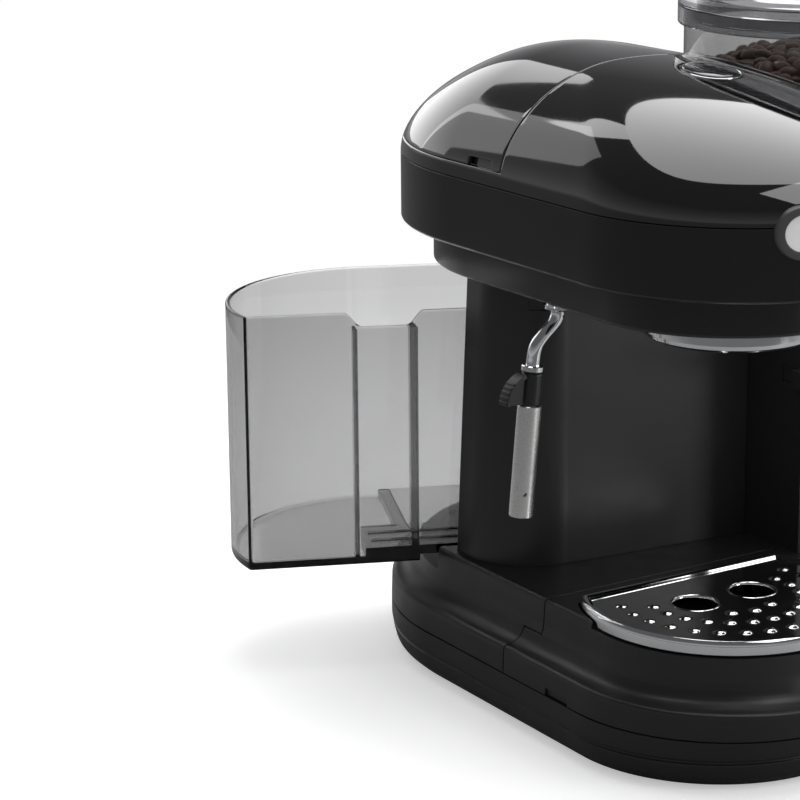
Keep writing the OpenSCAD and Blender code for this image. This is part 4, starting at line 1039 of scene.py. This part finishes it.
# Profiles of (radius, height over the knee), along the wand.
NUT = [(3.2, -5.8), (4.6, -5.8), (5, -5.4), (5, -3.4), (4.6, -3), (3.2, -3)]
SLEEVE = [(3.6, -21), (5.1, -21), (5.4, -21.3), (5.4, -70.9), (5.1, -71.4), (4.5, -71.6),
          (2.2, -71.6), (2.2, -68.6), (3.6, -68.6)]
HOLE_TURN, HOLE_Z = 247, -60.6            # the way the sleeve's small air hole faces, and its height
GRIP = [(3.3, -20.6), (4.5, -20.6), (4.9, -20.1), (4.9, -7.4), (4.75, -6.6), (4.5, -6.2), (4.1, -6),
        (3.3, -6)]
TAB_CENTRE, TAB_R, TAB_ENDS, TAB_RIM = (1.5, -20.6), 15.7, (180, 116), 1.9
WEB_HALF, RIM_HALF = 1.5, 3.4             # half widths of the fin


def curve_through(points, steps):
    """A smooth row of points through the given ones."""
    row = []
    for i in range(len(points) - 1):
        a, b = Vector(points[max(0, i - 1)]), Vector(points[i])
        c, d = Vector(points[i + 1]), Vector(points[min(len(points) - 1, i + 2)])
        for t in (k / steps for k in range(steps)):
            row.append(0.5 * (2 * b + (c - a) * t + (2 * a - 5 * b + 4 * c - d) * t * t
                              + (3 * b - a - 3 * c + d) * t ** 3))
    return row + [Vector(points[-1])]


def make_wand():
    """The bent tube, the nut at its knee and the sleeve with its air hole."""
    row = curve_through(WAND_BEND, 8)
    rings = []
    for i, p in enumerate(row):
        along = (row[min(i + 1, len(row) - 1)] - row[max(i - 1, 0)]).normalized()
        rings.append([(p.x - WAND_R * math.cos(t) * along.y, WAND_AT[1] + WAND_R * math.sin(t),
                       p.y + WAND_R * math.cos(t) * along.x) for t in around(32)])
    stand_for(smooth(skin("wand_tube", rings, CHROME)), "steam_wand")
    stand_for(smooth(moved(revolve("wand_nut", (0, 0), NUT, CHROME, 64), WAND)), "wand_collar")
    sleeve = revolve("sleeve_skin", (0, 0), SLEEVE, TUBE, 96)
    hole = placed(0, 0, HOLE_Z, "Z", HOLE_TURN) @ placed(0, 0, 0, "Y", 90)
    combine(sleeve, moved(disc((0, 0), 1, 0, 10, 32), hole))
    stand_for(moved(smooth(sleeve), WAND), "steam_sleeve")


def slab(outline, half):
    """A tool from an outline of (x, z), as wide on both sides of the wand's plane."""
    return skin("tool", [[(x, y, z) for x, z in outline] for y in (-half, half)])


def make_grip():
    """A sleeve with a curved thumb fin: a thin web inside a wider ribbed rim."""
    grip = revolve("grip_skin", (0, 0), GRIP, SATIN, 96)
    outer = arc(TAB_CENTRE, TAB_R, *TAB_ENDS, 20)
    inner = arc(TAB_CENTRE, TAB_R - TAB_RIM, *TAB_ENDS, 20)
    web = [(x + 0.8, z) for x, z in outer] + [(-3.6, -6.6), (-3.6, -20.6)]
    combine(grip, slab(web, WEB_HALF), "UNION")
    combine(grip, slab(outer + inner[::-1], RIM_HALF), "UNION")
    for i in range(5):
        angle = math.radians(176 - 8.5 * i)
        x, z = TAB_CENTRE[0] + TAB_R * math.cos(angle), TAB_CENTRE[1] + TAB_R * math.sin(angle)
        at = Matrix.Translation((x * MM, 0, z * MM)) @ Matrix.Rotation(math.pi - angle, 4, "Y")
        combine(grip, moved(block((-0.5, -3.0, -0.55), (0.45, 3.0, 0.55)), at), "UNION")
    stand_for(moved(soften(grip, 0.22), WAND), "wand_grip")


# ---- studio

FLOOR_COLOUR = (0.86, 0.86, 0.865)
FLOOR_BOUNCE = (0.3, 0.3, 0.3, 1)         # its colour to all other rays, as in a dark studio
FLOOR_R = 0.85
SHADE_LIFT = 0.42                         # what the floor gains where it is looked at, near the object
WORLD_FILL = 0.42
WORLD_GREYS = [(0.15, 0.16), (0.2, 0.38), (0.42, 0.22), (0.7, 0.1)]    # over 0.14 at the bottom


def mixed(tree, factor, a, b):
    """A colour that goes from a to b. Each is a value or a link."""
    mix = tree.nodes.new("ShaderNodeMix")
    mix.data_type = "RGBA"
    tree.links.new(factor, mix.inputs["Factor"])
    for socket, value in ((mix.inputs["A"], a), (mix.inputs["B"], b)):
        if isinstance(value, tuple):
            socket.default_value = value
        else:
            tree.links.new(value, socket)
    return mix.outputs["Result"]


def looked_at(tree):
    """1 for what the camera sees, directly or through clear plastic, and 1 for what is mirrored."""
    path = tree.nodes.new("ShaderNodeLightPath")
    node = node_of(tree, "ShaderNodeMath", _0=path.outputs["Is Camera Ray"],
                   _1=path.outputs["Is Transmission Ray"])
    node.operation = "MAXIMUM"
    return node.outputs[0], path.outputs["Is Glossy Ray"]


def floor_material():
    """Pale, with the object's shadow. Where it is looked at, it turns plain white further out."""
    s = Shader("floor")
    s.set(Roughness=0.6)
    pale = s.ramp(s.noise(6, 3), 0.3, 0.7, FLOOR_COLOUR, tuple(c * 0.99 for c in FLOOR_COLOUR))
    s.bump(s.noise(400, 2), 0.02, 0.0002)
    reach = node_of(s.tree, "ShaderNodeVectorMath", _0=s.place)
    reach.operation = "LENGTH"
    shown = looked_at(s.tree)[0]
    fade, lift = [node_of(s.tree, "ShaderNodeMapRange", Value=reach.outputs["Value"],
                          From_Min=0.35 * FLOOR_R, From_Max=0.95 * FLOOR_R, To_Min=low,
                          To_Max=1.0).outputs[0] for low in (0.0, SHADE_LIFT)]
    glow = node_of(s.tree, "ShaderNodeMath", _0=lift, _1=shown)
    glow.operation = "MULTIPLY"
    s.link(glow.outputs[0], s.bsdf.inputs["Emission Strength"])
    near = mixed(s.tree, fade, pale, (0, 0, 0, 1))
    s.link(mixed(s.tree, shown, FLOOR_BOUNCE, near), s.bsdf.inputs["Base Color"])
    s.bsdf.inputs["Emission Color"].default_value = (1, 1, 1, 1)
    return s.material


def make_floor():
    bm = bmesh.new()
    bmesh.ops.create_circle(bm, cap_ends=True, segments=128, radius=FLOOR_R)
    piece_of("floor", bm, floor_material())


# Name, place, target, size, radiance, roll in degrees, shape. Radiance is what a mirror shows of it,
# where white is 1.
LAMPS = [
    ("overhead", (0.93, 0.34, 1.28), (0.93, 0.34, 0), (2.9, 1.34), 2.4, 15, "ELLIPSE"),
    ("spur", (-0.22, 0.93, 1.28), (-0.22, 0.93, 0), (1.0, 0.3), 2.2, -68, "ELLIPSE"),
    ("strip", (-0.66, 1.42, 0.9), (-0.1, 0, 0.28), (0.62, 1.2), 0.8, 0, "RECTANGLE"),
    ("side", (0.03, 1.5, 0.74), (-0.05, 0, 0.28), (1.0, 0.95), 1.3, 0, "RECTANGLE"),
    ("bay", (0.015, -0.089, 0.19), (0.0, -0.04, 0), (0.2, 0.045), 2.2, 0, "RECTANGLE"),
    ("front", (0.27, -0.78, 1.36), (-0.05, -0.1, 0.2), (0.66, 0.6), 2.4, 0, "RECTANGLE"),
    ("low_front", (0.4, -0.7, 0.24), (-0.05, 0, 0.13), (0.2, 0.42), 4.2, 0, "RECTANGLE"),
    ("under_head", (-0.052, -0.088, 0.186), (-0.052, -0.088, 0), (0.06, 0.06), 2.2, 0, "ELLIPSE"),
]


def lamp(name, at, target, size, radiance, roll, shape):
    data = bpy.data.lights.new(name, "AREA")
    data.shape = shape
    data.size, data.size_y = size
    share = math.pi / 4 if shape == "ELLIPSE" else 1
    data.energy = radiance * math.pi * data.size * data.size_y * share
    light = bpy.data.objects.new(name, data)
    light.location = at
    turn = (Vector(target) - Vector(at)).to_track_quat("-Z", "Y").to_matrix().to_4x4()
    light.rotation_euler = (turn @ Matrix.Rotation(math.radians(roll), 4, "Z")).to_euler()
    light.visible_camera = False
    bpy.context.scene.collection.objects.link(light)


def make_world():
    """White where it is looked at, a plain fill on the object, and greys by height in mirrors."""
    world = bpy.data.worlds.new("studio")
    world.use_nodes = True
    bpy.context.scene.world = world
    tree = world.node_tree
    shown, mirrored = looked_at(tree)
    way = tree.nodes.new("ShaderNodeTexCoord").outputs["Generated"]
    split = node_of(tree, "ShaderNodeSeparateXYZ", Vector=way)
    level = node_of(tree, "ShaderNodeMapRange", Value=split.outputs["Z"], From_Min=-0.2, From_Max=0.8)
    ramp = node_of(tree, "ShaderNodeValToRGB", Fac=level.outputs[0])
    stops = ramp.color_ramp.elements
    stops.remove(stops[-1])
    for place, grey in [(0.0, 0.14)] + WORLD_GREYS:
        stop = stops.new(place) if place else stops[0]
        stop.color = (grey, grey, grey * 1.03, 1)
    colour = ramp.outputs["Color"]
    colour = mixed(tree, mirrored, (WORLD_FILL, WORLD_FILL, WORLD_FILL, 1), colour)
    colour = mixed(tree, shown, colour, (1, 1, 1, 1))
    tree.links.new(colour, tree.nodes["Background"].inputs["Color"])
    tree.nodes["Background"].inputs["Strength"].default_value = 1.0


make_camera()
make_world()
make_floor()
for row in LAMPS:
    lamp(*row)
dress_cad_nodes()
make_base()
make_drip_plate()
make_head()
make_tier()
make_start_button()
make_panel_bezel()
make_column()
make_tank()
make_collar()
make_hopper()
make_beans()
make_wand()
make_grip()

# ---- colour management

bpy.context.scene.view_settings.view_transform = "Standard"
